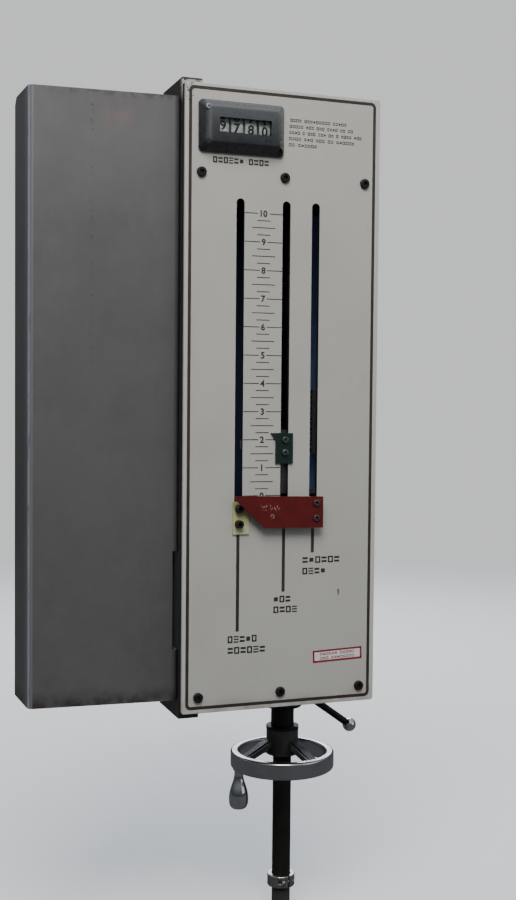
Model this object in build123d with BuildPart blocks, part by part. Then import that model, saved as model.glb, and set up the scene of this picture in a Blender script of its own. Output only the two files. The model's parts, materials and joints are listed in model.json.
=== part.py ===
"""Ram stop control unit of a press brake: a scaled face panel with three stops, a counter and a handwheel.

Millimetres. +X is to the right of someone facing the panel, +Y goes into the machine, +Z is up.
The origin is the centre of the four mounting holes, on the back face of the mounting shell.
"""

from math import acos, cos, pi, radians, sin, sqrt, tan
import os

from build123d import *

os.makedirs("parts", exist_ok=True)

# Fits between pieces
seat_gap = 0.3
running_gap = 0.05
bolt_gap = 0.25
sheet_gap = 0.6

# Face panel and its scale
panel_width = 188.0
panel_height = 560.0
panel_thick = 3.0
panel_corner = 2.5
panel_edge = 0.4
unit_depth = 148.0
gasket_thick = 7.0
gasket_inset = 0.5
slot_width = 7.6
slot_top_z = 181.3
slot_bottom_z = -115.6
speed_x = -42.0
top_x = 2.1
bottom_x = 30.7
scale_x = -19.8
scale_zero_z = -85.0

# Frame
bar_thick = 19.0
side_bar_depth = 63.5
side_bar_overhang = 6.0
side_bar_edge = 1.0
shell_thick = 6.0
shell_bend = 5.0
window_front = 18.0
window_back = 30.0
window_top_z = 165.0
window_bottom_z = -215.0
window_corner = 12.0
mount_spacing_x = 140.0
mount_spacing_z = 440.0
mount_hole = 11.0

# Fasteners
panel_screw_edge = 15.2
panel_screw_top = 77.8
panel_screw_foot = 14.5
panel_screw_shank = 4.5
panel_screw_head = 9.0
panel_screw_head_height = 2.6
panel_screw_length = 20.0
frame_screw_shank = 6.0
frame_screw_head = 10.0
frame_screw_head_height = 6.0
frame_screw_length = 34.0
frame_screw_inset = 27.0
socket_share = 0.5
thread_grip = 16.0
cap_chamfer = 0.6

# Side guard
guard_width = 133.0
guard_height = 539.4
guard_centre_z = 0.0
guard_sheet = 1.5
guard_bend = 4.0
guard_front = 12.5
guard_skew = 9.0
guard_left_flange = 57.0
guard_left_lean = 2.8
guard_corner_cut = 6.0
guard_right_flange = 44.0
guard_notch_top_z = -134.3
guard_notch_height = 89.6
guard_notch_depth = 16.0
guard_screw_offset = 6.0
guard_screw_rows = (-2, -1, 1, 2)

# Lead screw, its bearings and the drive below the panel
screw_setback = 72.0
screw_outer = 19.0
screw_relief = 1.5
journal = 12.7
bush_outer = 22.0
bush_flange = 30.0
bush_flange_thick = 3.0
nose_outer = 26.0
nose_length = 16.0
lock_nut_outer = 38.0
lock_nut_lip = 5.0
lock_nut_lip_bore = 17.0
lock_nut_bottom_drop = 18.0
lock_nut_edge = 1.0
lever_drop_angle = 36.0
lever_rod = 7.0
lever_ball = 13.5
lever_root_rise = 9.1
lever_root_cover = 2.5
ball_seat_share = 0.2
lever_reach = 72.0
drive_collar_outer = 22.5
drive_flange_outer = 32.0
drive_flange_thick = 3.0
hub_outer = 31.4
hub_top_drop = 40.5
hub_bottom_drop = 65.0
rim_outer = 101.6
rim_wall = 8.0
rim_top_drop = 61.5
rim_height = 16.5
rim_corner = 2.4
spoke_count = 3
spoke_turn = 60.0
spoke_hub_size = (15.0, 9.0)
spoke_hub_rise = 11.0
spoke_rim_size = (12.0, 7.0)
spoke_rim_rise = 6.0
spoke_corner = 2.5
spoke_root = 2.0
crank_radius = 45.0
crank_pin = 6.0
crank_pin_seat = 10.0
crank_boss = 11.2
crank_boss_height = 11.5
grip_outer = 18.9
grip_neck = 8.5
grip_length = 37.5
grip_wide_share = 0.74
grip_neck_share = 0.2
grip_flare = 0.6
pin_head = 9.0
pin_head_height = 2.0
lower_shaft = 18.0
lower_shaft_end_drop = 226.0
lower_shaft_socket = 10.0
lower_shaft_edge = 1.0
split_collar_outer = 27.0
split_collar_height = 11.5
split_collar_top_drop = 185.0
split_slit = 1.6
split_turn = -75.0
split_chamfer = 0.6
clamp_shank = 3.0
clamp_head = 5.0
clamp_head_height = 3.0
clamp_seat = 4.6
clamp_length = 10.6
stop_collar_outer = 34.0
stop_collar_height = 12.0
guide_rod = 10.0
guide_rod_x = 58.0
guide_rod_y = -44.0
guide_seat_depth = 12.0

# Mitre gears between the lead screw and the counter
gear_module = 1.5
gear_teeth = 16
gear_face = 6.0
gear_backlash = 0.12
gear_hub = 18.0
gear_hub_length = 7.0
addendum_share = 0.95
dedendum_share = 1.25
tooth_sink = 0.3
pressure_angle = radians(20)
counter_shaft = 8.0
screw_above_root = 1.0

# Counter
counter_drop = 37.3
bezel_overlap = 9.0
bezel_height = 45.6
bezel_proud = 11.0
bezel_foot = 2.0
bezel_corner = 4.0
bezel_slope = 7.3
bezel_round = 2.2
view_lap = 1.6
view_height = 13.0
glass_thick = 1.5
glass_lap = 2.0
wheel_clearance = 1.0
bezel_front_wall = 3.0
bezel_screw_gap = 0.9
bezel_screw_drop = 8.0
bezel_screw_seat = 9.0
corner_screw_inset = (4.0, 3.9)
corner_screw_seat = 3.0
bezel_screw_shank = 3.0
bezel_screw_head = 5.0
bezel_screw_head_height = 1.6
bezel_screw_grip = 5.0
case_gap = 2.0
case_height = 40.0
case_depth = 52.0
case_wall = 3.0
wheel_radius = 16.0
wheel_width = 11.0
wheel_rim = 3.0
wheel_web = 2.0
wheel_hub_radius = 5.0
wheel_pitch = 13.0
wheel_side_room = 2.0
wheel_setback = 11.0
wheels_offset = 0.7
wheel_names = ("thousands", "hundreds", "tens", "units")
axle = 4.0
gearbox_width = 30.0
gearbox_height = 38.0
gearbox_corner = 4.0
gearbox_boss = 5.0

# Stops
stop_plate = 1.6
flag_standoff = 7.0
stop_screw = 4.0
stop_head = 6.2
stop_head_height = 1.8
flag_screw_length = 14.0
screw_end_gap = 1.0
speed_head = 7.5
speed_head_height = 5.0
shoe_width = 11.0
shoe_height = 58.0
shoe_top = 9.0
shoe_corner = 2.0
carrier_width = 25.0
carrier_thick = 13.0
carriage_left = 18.0
carriage_right = 10.0
carriage_half_depth = 18.0
carriage_height = 50.0
carriage_top = -88.0
carriage_corner = 3.0
nut_outer = 28.0
nut_flange = 34.0
nut_flange_thick = 4.0
boss_width = 7.1
switch_width = 22.0
switch_depth = 24.0
switch_height = 56.0
switch_cap = 8.0
switch_cap_inset = 0.8
switch_corner = 2.0
switch_below_shoe = 1.0
switch_offset = 2.0
pivot_share = 0.7
pivot_drop = 2.0
stub = 6.0
stub_end = 1.5
lever_gap = 0.5
lever_thick = 2.0
lever_length = 24.0
lever_width = 9.0
roller_outer = 11.0
roller_width = 5.0
roller_pin = 3.0
roller_chamfer = 0.5

# Where each stop stands at rest: its reading edge and its two screws
speed_read_z = -89.9
speed_screw_zs = (-96.4, -110.1)
speed_left = 5.4
speed_right = 10.2
speed_tip = 4.5
speed_height = 29.6
top_read_z = -28.2
top_screw_zs = (-34.4, -45.9)
top_left = 9.0
top_right = 7.8
top_tip = 4.8
top_height = 27.7
tip_drop = 7.0
bottom_screw_zs = (-91.9, -105.7)
flag_right = 6.8
flag_tip_left = 78.8
flag_foot_left = 50.4
flag_tip_height = 2.4
flag_height = 28.6
flag_droop = 1.1

# Terminal strip
terminal_width = 17.0
terminal_back = 12.0
terminal_height = 67.0
terminal_depth = 18.0
terminal_z = -19.5
terminal_poles = 6
terminal_barrier = 2.0
terminal_bay_depth = 8.1

# Places worked out from the sizes above
front_y = -unit_depth
panel_back_y = front_y + panel_thick
frame_y = panel_back_y + gasket_thick
shell_inner_y = -shell_thick
left_x = -panel_width / 2
right_x = panel_width / 2
inner_left_x = left_x + bar_thick
inner_right_x = right_x - shell_thick
panel_top_z = panel_height / 2
panel_bottom_z = -panel_height / 2
upper_bar_z = panel_top_z - panel_screw_top
lower_bar_z = panel_bottom_z + panel_screw_foot
screw_x = bottom_x
screw_y = front_y + screw_setback
upper_bar_top = upper_bar_z + bar_thick / 2
upper_bar_bottom = upper_bar_z - bar_thick / 2
lower_bar_top = lower_bar_z + bar_thick / 2
lower_bar_bottom = lower_bar_z - bar_thick / 2
panel_screw_xs = (left_x + panel_screw_edge, 0, right_x - panel_screw_edge)
panel_screw_points = [(x, z) for z in (upper_bar_z, lower_bar_z) for x in panel_screw_xs]
slot_length = slot_top_z - slot_bottom_z
slot_mid_z = (slot_top_z + slot_bottom_z) / 2
slot_xs = (speed_x, top_x, bottom_x)
wheel_bank = len(wheel_names) * wheel_pitch
view_width = wheel_bank - 2 * view_lap
case_width = wheel_bank + 2 * (case_wall + wheel_side_room)
bezel_width = case_width + 2 * bezel_overlap
counter_x = inner_left_x + case_gap + case_width / 2
counter_z = panel_top_z - counter_drop
wheels_x = counter_x + wheels_offset
case_back_y = panel_back_y + case_depth
bezel_left = counter_x - bezel_width / 2
bezel_right = counter_x + bezel_width / 2
bezel_top = counter_z + bezel_height / 2
bezel_foot_z = counter_z - bezel_height / 2
bezel_screw_x = counter_x - case_width / 2 - bezel_screw_gap - bezel_screw_shank / 2
bezel_screw_point = (bezel_screw_x, bezel_top - bezel_screw_drop)
corner_screw_point = (bezel_right - corner_screw_inset[0], bezel_foot_z + corner_screw_inset[1])


def facing(y):
    """A plane that faces the viewer at depth y: its x is X, its y is Z, and extruding goes to the front."""
    return Plane.XZ.offset(-y)


def below(drop):
    """The height that lies this far under the panel's bottom edge."""
    return panel_bottom_z - drop


def keep(piece, name):
    """Labels a finished piece and writes it as a STEP file of that name."""
    piece.label = name
    export_step(piece, f"parts/{name}.step")


# Face panel: a rounded plate with three slots, the counter's opening and six screw holes
with BuildPart() as face_panel:
    with BuildSketch(facing(panel_back_y)):
        RectangleRounded(panel_width, panel_height, panel_corner)
        with Locations([(x, slot_mid_z) for x in slot_xs]):
            SlotOverall(slot_length, slot_width, rotation=90, mode=Mode.SUBTRACT)
        with Locations((counter_x, counter_z)):
            Rectangle(case_width + sheet_gap, case_height + sheet_gap, mode=Mode.SUBTRACT)
        with Locations(panel_screw_points):
            Circle(panel_screw_shank / 2 + bolt_gap, mode=Mode.SUBTRACT)
        with Locations(bezel_screw_point, corner_screw_point):
            Circle(bezel_screw_shank / 2 + running_gap, mode=Mode.SUBTRACT)
    extrude(amount=panel_thick)
    chamfer(face_panel.faces().sort_by(Axis.Y)[0].outer_wire().edges(), panel_edge)
keep(face_panel.part, "face_panel")

# Gasket: one sheet of rubber between the panel and the frame, open at the slots and the counter
shoe_way_top = slot_top_z + shoe_top
shoe_way_bottom = slot_bottom_z + shoe_top - shoe_height
with BuildPart() as panel_gasket:
    with BuildSketch(facing(frame_y)):
        Rectangle(panel_width - 2 * gasket_inset, panel_height - 2 * gasket_inset)
        with Locations([(x, (shoe_way_top + shoe_way_bottom) / 2) for x in slot_xs]):
            Rectangle(shoe_width + 2 * sheet_gap, shoe_way_top - shoe_way_bottom, mode=Mode.SUBTRACT)
        with Locations((counter_x, counter_z)):
            Rectangle(case_width + sheet_gap, case_height + sheet_gap, mode=Mode.SUBTRACT)
        with Locations(panel_screw_points):
            Circle(panel_screw_shank / 2 + bolt_gap, mode=Mode.SUBTRACT)
        with Locations(bezel_screw_point, corner_screw_point):
            Circle(bezel_screw_shank / 2 + running_gap, mode=Mode.SUBTRACT)
    extrude(amount=gasket_thick)
keep(panel_gasket.part, "panel_gasket")

# Left side bar: a thick flat bar that stands past the panel at top and bottom
frame_screw_ys = (frame_y + frame_screw_inset, frame_y + side_bar_depth - frame_screw_inset / 2)
frame_screw_points = [(y, z) for y in frame_screw_ys for z in (upper_bar_z, lower_bar_z)]
side_bar_height = panel_height + 2 * side_bar_overhang
side_bar_mid_y = frame_y + side_bar_depth / 2
guard_screw_y = frame_y + side_bar_depth / 2 + guard_screw_offset
guard_screw_zs = [k * guard_height / 5 for k in guard_screw_rows]
with BuildPart() as left_side_bar:
    with BuildSketch(Plane.YZ.offset(left_x)):
        with Locations((side_bar_mid_y, 0)):
            Rectangle(side_bar_depth, side_bar_height)
        with Locations(frame_screw_points):
            Circle(frame_screw_shank / 2 + bolt_gap, mode=Mode.SUBTRACT)
        with Locations([(guard_screw_y, z) for z in guard_screw_zs]):
            Circle(panel_screw_shank / 2 + running_gap, mode=Mode.SUBTRACT)
    extrude(amount=bar_thick)
    chamfer(left_side_bar.edges().filter_by(Axis.Z), side_bar_edge)
    with BuildSketch(Plane.YZ.offset(left_x)):
        with Locations(frame_screw_points):
            Circle(frame_screw_head / 2 + bolt_gap)
    extrude(amount=frame_screw_head_height + bolt_gap, mode=Mode.SUBTRACT)
    with BuildSketch(facing(frame_y)):
        with Locations([p for p in panel_screw_points if p[0] < inner_left_x]):
            Circle(panel_screw_shank / 2 + running_gap)
    extrude(amount=-panel_screw_length, mode=Mode.SUBTRACT)
keep(left_side_bar.part, "left_side_bar")


# Cross bars: they carry the screw's bearings, the guide rod and the panel's screws
def cross_bar(z, screw_bore, guide_side):
    """A bar across the frame at height z, with the guide rod's blind seat above (1) or below (-1) it."""
    with BuildPart() as bar:
        with BuildSketch(Plane.XY.offset(z - bar_thick / 2)):
            with BuildLine():
                Polyline((inner_left_x, frame_y), (inner_right_x, frame_y), (inner_right_x, shell_inner_y),
                         (inner_left_x, shell_inner_y), close=True)
            make_face()
            fillet(vertices().sort_by(Axis.X)[-2:].sort_by(Axis.Y)[-1], shell_bend + seat_gap)
            with Locations((screw_x, screw_y)):
                Circle(screw_bore / 2, mode=Mode.SUBTRACT)
        extrude(amount=bar_thick)
        with BuildSketch(Plane.XY.offset(z + guide_side * bar_thick / 2)):
            with Locations((guide_rod_x, guide_rod_y)):
                Circle(guide_rod / 2 + running_gap)
        extrude(amount=-guide_side * guide_seat_depth, mode=Mode.SUBTRACT)
        with BuildSketch(facing(frame_y)):
            with Locations([p for p in panel_screw_points if p[1] == z and p[0] > inner_left_x]):
                Circle(panel_screw_shank / 2 + running_gap)
        extrude(amount=-panel_screw_length, mode=Mode.SUBTRACT)
        with BuildSketch(Plane.YZ.offset(inner_left_x)):
            with Locations([p for p in frame_screw_points if p[1] == z]):
                Circle(frame_screw_shank / 2 + running_gap)
        extrude(amount=frame_screw_length, mode=Mode.SUBTRACT)
        with BuildSketch(Plane.YZ.offset(inner_right_x)):
            with Locations([p for p in shell_screw_points if p[1] == z]):
                Circle(frame_screw_shank / 2 + running_gap)
        extrude(amount=-frame_screw_length, mode=Mode.SUBTRACT)
    return bar.part


shell_screw_points = [(y, z) for y in (frame_y + frame_screw_inset, -frame_screw_inset)
                      for z in (upper_bar_z, lower_bar_z)]
upper_cross_bar = cross_bar(upper_bar_z, bush_outer, -1)
lower_cross_bar = cross_bar(lower_bar_z, bush_outer, 1)
keep(upper_cross_bar, "upper_cross_bar")
keep(lower_cross_bar, "lower_cross_bar")

# Mounting shell: one folded plate that is the back and the right-hand wall, with an access window
window_length = window_top_z - window_bottom_z
window_width = -frame_y - window_front - window_back
shell_height = panel_height - 2 * gasket_inset
with BuildPart() as mounting_shell:
    with BuildSketch(Plane.XY.offset(-shell_height / 2)):
        with BuildLine():
            Polyline((left_x, 0), (left_x, shell_inner_y), (inner_right_x, shell_inner_y),
                     (inner_right_x, frame_y), (right_x, frame_y), (right_x, 0), close=True)
        make_face()
    extrude(amount=shell_height)
    upright = mounting_shell.edges().filter_by(Axis.Z)
    outside = upright.filter_by_position(Axis.X, right_x, right_x)
    fillet(outside.sort_by(Axis.Y)[-1], shell_bend + shell_thick)
    upright = mounting_shell.edges().filter_by(Axis.Z)
    inside = upright.filter_by_position(Axis.Y, shell_inner_y, shell_inner_y)
    fillet(inside.sort_by(Axis.X)[-1], shell_bend)
    with BuildSketch(Plane.YZ.offset(inner_right_x)):
        with Locations((frame_y + window_front + window_width / 2, (window_top_z + window_bottom_z) / 2)):
            RectangleRounded(window_width, window_length, window_corner)
        with Locations(shell_screw_points):
            Circle(frame_screw_shank / 2 + bolt_gap)
    extrude(amount=shell_thick, mode=Mode.SUBTRACT)
    with BuildSketch(facing(0)):
        with GridLocations(mount_spacing_x, mount_spacing_z, 2, 2):
            Circle(mount_hole / 2)
    extrude(amount=shell_thick, mode=Mode.SUBTRACT)
keep(mounting_shell.part, "mounting_shell")


# Screws: each has its head on the plane, its shank behind it and a hexagon socket in its head
def button_screws(plane, points, shank, head, head_height, length):
    """Round-headed socket screws whose heads stand up from the plane."""
    with BuildPart() as screws:
        with BuildSketch(plane):
            with Locations(points):
                Circle(head / 2)
        extrude(amount=head_height)
        tops = [f for f in screws.faces() if f.normal_at().dot(plane.z_dir) > 0.9]
        fillet([e for f in tops for e in f.edges()], min(head_height * 0.6, head / 8))
        with BuildSketch(plane):
            with Locations(points):
                Circle(shank / 2)
        extrude(amount=-length)
        with BuildSketch(plane.offset(head_height)):
            with Locations(points):
                RegularPolygon(head * socket_share / 2, 6)
        extrude(amount=-head_height * 0.7, mode=Mode.SUBTRACT)
    return screws.part


panel_screws = button_screws(facing(front_y), panel_screw_points, panel_screw_shank, panel_screw_head,
                             panel_screw_head_height, panel_thick + gasket_thick + thread_grip)
keep(panel_screws, "panel_screws")

# Cap screws that hold the cross bars: through the side bar on the left, through the shell on the right
def cap_screws(plane, points, sunk):
    """Socket cap screws with their heads on the plane, or sunk in the counterbores below it."""
    seat = plane.offset(-frame_screw_head_height - bolt_gap) if sunk else plane
    with BuildPart() as screws:
        with BuildSketch(seat):
            with Locations(points):
                Circle(frame_screw_head / 2)
        extrude(amount=frame_screw_head_height)
        tops = screws.faces().filter_by(lambda f: f.normal_at().dot(plane.z_dir) > 0.9)
        chamfer([e for f in tops for e in f.edges()], cap_chamfer)
        with BuildSketch(seat):
            with Locations(points):
                Circle(frame_screw_shank / 2)
        extrude(amount=-frame_screw_length + frame_screw_head_height)
        with BuildSketch(seat.offset(frame_screw_head_height)):
            with Locations(points):
                RegularPolygon(frame_screw_head * socket_share / 2, 6)
        extrude(amount=-frame_screw_head_height / 2, mode=Mode.SUBTRACT)
    return screws.part


left_face = Plane(origin=(left_x, 0, 0), x_dir=(0, -1, 0), z_dir=(-1, 0, 0))
right_face = Plane(origin=(right_x, 0, 0), x_dir=(0, 1, 0), z_dir=(1, 0, 0))
keep(cap_screws(left_face, [(-y, z) for y, z in frame_screw_points], True), "side_bar_screws")
keep(cap_screws(right_face, shell_screw_points, False), "shell_screws")

# Side guard: a tray folded from sheet, screwed to the side bar by its right flange
guard_top_z = guard_centre_z + guard_height / 2
guard_right_x = left_x
guard_left_x = left_x - guard_width
guard_front_y = front_y + guard_front
guard_left_y = guard_front_y + guard_skew
with BuildPart() as side_guard:
    with BuildSketch(Plane.XY.offset(guard_top_z - guard_height)):
        with BuildLine() as guard_line:
            FilletPolyline(
                (guard_left_x - guard_left_lean, guard_left_y + guard_left_flange),
                (guard_left_x, guard_left_y),
                (guard_right_x, guard_front_y),
                (guard_right_x, guard_front_y + guard_right_flange),
                radius=guard_bend + guard_sheet,
            )
            offset(amount=guard_sheet, side=Side.LEFT)
        make_face()
    extrude(amount=guard_height)
    with BuildSketch(left_face):
        notch_mid_z = guard_notch_top_z - guard_notch_height / 2
        with Locations((-(guard_front_y + guard_notch_depth / 2), notch_mid_z)):
            Rectangle(guard_notch_depth + 2 * guard_sheet, guard_notch_height)
        with Locations([(-guard_screw_y, z) for z in guard_screw_zs]):
            Circle(panel_screw_shank / 2 + bolt_gap)
    extrude(amount=guard_bend + guard_sheet, mode=Mode.SUBTRACT)
    across_sheet = side_guard.edges().filter_by(lambda e: abs(e.length - guard_sheet) < running_gap)
    chamfer(across_sheet.group_by(Axis.X)[0].sort_by(Axis.Z)[-1], guard_corner_cut)
keep(side_guard.part, "side_guard")

guard_screw_face = Plane(origin=(left_x - guard_sheet, 0, 0), x_dir=(0, -1, 0), z_dir=(-1, 0, 0))
guard_screws = button_screws(guard_screw_face, [(-guard_screw_y, z) for z in guard_screw_zs],
                             panel_screw_shank, panel_screw_head, panel_screw_head_height,
                             guard_sheet + thread_grip)
keep(guard_screws, "guard_screws")


# Round pieces about the lead screw's axis
def turned(profile, x, y):
    """A solid of revolution about the vertical line through x, y, from (radius, height) points."""
    with BuildPart() as piece:
        with BuildSketch(Plane(origin=(x, y, 0), x_dir=(1, 0, 0), z_dir=(0, -1, 0))):
            with BuildLine():
                Polyline(*profile, close=True)
            make_face()
        revolve(axis=Axis((x, y, 0), (0, 0, 1)))
    return piece


bore = journal / 2 + running_gap
bush_top = upper_bar_top + bush_flange_thick
upper_bush = turned([(bore, upper_bar_bottom), (bush_outer / 2, upper_bar_bottom),
                     (bush_outer / 2, upper_bar_top), (bush_flange / 2, upper_bar_top),
                     (bush_flange / 2, bush_top), (bore, bush_top)], screw_x, screw_y)
keep(upper_bush.part, "upper_bush")
nose_bottom = lower_bar_bottom - nose_length
lower_bush = turned([(bore, nose_bottom), (nose_outer / 2, nose_bottom),
                     (nose_outer / 2, lower_bar_bottom), (bush_outer / 2, lower_bar_bottom),
                     (bush_outer / 2, lower_bar_top), (bore, lower_bar_top)], screw_x, screw_y)
keep(lower_bush.part, "lower_bush")

# Lead screw: its thread is drawn as a plain cylinder of the outer diameter, between two journals
apex_z = counter_z
gear_radius = gear_module * gear_teeth / 2
screw_top_z = apex_z - gear_radius + screw_above_root
thread_top = upper_bar_bottom - seat_gap
thread_bottom = lower_bar_top + seat_gap
shaft_meet_z = below(hub_bottom_drop - lower_shaft_socket)
screw_root = screw_outer / 2 - screw_relief
lead_screw = turned([(0, shaft_meet_z), (journal / 2, shaft_meet_z), (journal / 2, thread_bottom),
                     (screw_root, thread_bottom), (screw_outer / 2, thread_bottom + screw_relief),
                     (screw_outer / 2, thread_top - screw_relief), (screw_root, thread_top),
                     (journal / 2, thread_top), (journal / 2, screw_top_z), (0, screw_top_z)],
                    screw_x, screw_y)
keep(lead_screw.part, "lead_screw")


# Mitre gears: straight bevel teeth that run out to one apex
def flank_angle(radius, pitch_radius, teeth):
    """Half the angle that a tooth fills at this radius of the virtual spur gear."""
    base = pitch_radius * cos(pressure_angle)
    roll = acos(base / max(radius, base))
    spread = (tan(pressure_angle) - pressure_angle) - (tan(roll) - roll)
    return pi / (2 * teeth) - gear_backlash / (2 * pitch_radius) + spread


def mitre_gear(shaft, phase):
    """A gear whose apex is the origin and whose body lies below it, bored for a shaft."""
    cone = sqrt(2) * gear_radius
    addendum = gear_module * addendum_share
    dedendum = gear_module * dedendum_share
    flank = []
    for h in (-dedendum - tooth_sink, -dedendum / 2, 0, addendum / 2, addendum):
        angle = flank_angle(cone + h, cone, gear_teeth * sqrt(2))
        flank.append(((cone + h) * sin(angle), (cone + h) * cos(angle) - cone))
    shrink = (cone - gear_face) / cone
    with BuildPart() as tooth:
        for k in (1, shrink):
            origin = (gear_radius * k, 0, -gear_radius * k)
            with BuildSketch(Plane(origin=origin, x_dir=(0, 1, 0), z_dir=(1, 0, -1))):
                with BuildLine():
                    points = [(s * k, h * k) for s, h in flank]
                    Polyline(*points, *[(-s, h) for s, h in reversed(points)], close=True)
                make_face()
        loft()
    root_out = (gear_radius - dedendum / sqrt(2), -gear_radius - dedendum / sqrt(2))
    root_in = (root_out[0] * shrink, root_out[1] * shrink)
    hub_z = -gear_radius - gear_hub_length
    with BuildPart() as gear:
        with BuildSketch(Plane.XZ):
            with BuildLine():
                Polyline((shaft / 2, root_in[1]), root_in, root_out,
                         (gear_hub / 2, root_out[1] - gear_module), (gear_hub / 2, hub_z),
                         (shaft / 2, hub_z), close=True)
            make_face()
        revolve(axis=Axis.Z)
        with PolarLocations(0, gear_teeth, start_angle=phase):
            add(tooth.part)
    return gear.part


upright_apex = Plane(origin=(screw_x, screw_y, apex_z))
level_apex = Plane(origin=(screw_x, screw_y, apex_z), x_dir=(0, 0, -1), z_dir=(1, 0, 0))
screw_gear = upright_apex.location * mitre_gear(journal, 0)
counter_gear = level_apex.location * mitre_gear(counter_shaft, 180 / gear_teeth)
keep(screw_gear, "screw_mitre_gear")
keep(counter_gear, "counter_mitre_gear")

# Drive collar: the dark sleeve under the lock nut, with the flange that the hub bears on
lock_nut_bottom = below(lock_nut_bottom_drop)
collar_top = lock_nut_bottom - seat_gap
hub_top = below(hub_top_drop)
drive_collar = turned([(journal / 2, hub_top), (drive_flange_outer / 2, hub_top),
                       (drive_flange_outer / 2, hub_top + drive_flange_thick),
                       (drive_collar_outer / 2, hub_top + drive_flange_thick),
                       (drive_collar_outer / 2, collar_top), (journal / 2, collar_top)], screw_x, screw_y)
keep(drive_collar.part, "drive_collar")

# Handwheel: a dished wheel with its spokes running down from the hub to the rim
hub_bottom = below(hub_bottom_drop)
rim_top = below(rim_top_drop)
rim_bottom = rim_top - rim_height
rim_inner = rim_outer / 2 - rim_wall
crank_x = screw_x - crank_radius
with BuildPart() as handwheel:
    with BuildSketch(Plane(origin=(screw_x, screw_y, 0), x_dir=(1, 0, 0), z_dir=(0, -1, 0))):
        with Locations(((rim_inner + rim_outer / 2) / 2, (rim_top + rim_bottom) / 2)):
            RectangleRounded(rim_wall, rim_height, rim_corner)
        with BuildLine():
            Polyline((journal / 2, hub_bottom), (hub_outer / 2, hub_bottom), (hub_outer / 2, hub_top),
                     (journal / 2, hub_top), close=True)
        make_face()
    revolve(axis=Axis((screw_x, screw_y, 0), (0, 0, 1)))
    for k in range(spoke_count):
        turn = radians(spoke_turn + 360 / spoke_count * k)
        out = (cos(turn), sin(turn), 0)
        side = (-sin(turn), cos(turn), 0)
        for reach, z, size in ((hub_outer / 2 - spoke_root, hub_bottom + spoke_hub_rise, spoke_hub_size),
                               (rim_inner + spoke_root, rim_bottom + spoke_rim_rise, spoke_rim_size)):
            origin = (screw_x + out[0] * reach, screw_y + out[1] * reach, z)
            with BuildSketch(Plane(origin=origin, x_dir=side, z_dir=out)):
                RectangleRounded(*size, spoke_corner)
        loft()
    with BuildSketch(Plane.XY.offset(rim_bottom)):
        with Locations((crank_x, screw_y)):
            Circle(crank_boss / 2)
    extrude(amount=crank_boss_height)
    with BuildSketch(Plane.XY.offset(hub_bottom)):
        with Locations((screw_x, screw_y)):
            Circle(lower_shaft / 2)
    extrude(amount=shaft_meet_z - hub_bottom, mode=Mode.SUBTRACT)
    with BuildSketch(Plane.XY.offset(rim_bottom)):
        with Locations((crank_x, screw_y)):
            Circle(crank_pin / 2)
    extrude(amount=crank_pin_seat, mode=Mode.SUBTRACT)
keep(handwheel.part, "handwheel")

# Crank grip, a pear-shaped turned knob, and the shouldered pin that it spins on
grip_top = rim_bottom - seat_gap
grip_bottom = grip_top - grip_length
pin_shoulder = grip_bottom + pin_head_height
pin_top = rim_bottom + crank_pin_seat
crank_screw = turned([(0, grip_bottom), (pin_head / 2, grip_bottom), (pin_head / 2, pin_shoulder),
                      (crank_pin / 2, pin_shoulder), (crank_pin / 2, pin_top), (0, pin_top)],
                     crank_x, screw_y)
keep(crank_screw.part, "crank_pin")
grip_bore = crank_pin / 2 + running_gap
grip_wide_z = grip_top - grip_length * grip_wide_share
grip_neck_z = grip_top - grip_length * grip_neck_share
grip_eye = pin_head / 2 + seat_gap
grip_foot = pin_head / 2 + grip_flare
with BuildPart() as crank_grip:
    with BuildSketch(Plane(origin=(crank_x, screw_y, 0), x_dir=(1, 0, 0), z_dir=(0, -1, 0))):
        with BuildLine():
            Polyline((grip_bore, pin_shoulder + seat_gap), (grip_bore, grip_top), (grip_neck / 2, grip_top))
            Spline((grip_neck / 2, grip_top), (grip_neck / 2 + grip_flare, grip_neck_z),
                   (grip_outer / 2, grip_wide_z), tangents=((0, -1), (0, -1)))
            Spline((grip_outer / 2, grip_wide_z), (grip_foot, grip_bottom), tangents=((0, -1), (-4, -1)))
            Polyline((grip_foot, grip_bottom), (grip_eye, grip_bottom), (grip_eye, pin_shoulder + seat_gap),
                     (grip_bore, pin_shoulder + seat_gap))
        make_face()
    revolve(axis=Axis((crank_x, screw_y, 0), (0, 0, 1)))
keep(crank_grip.part, "crank_grip")

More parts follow.
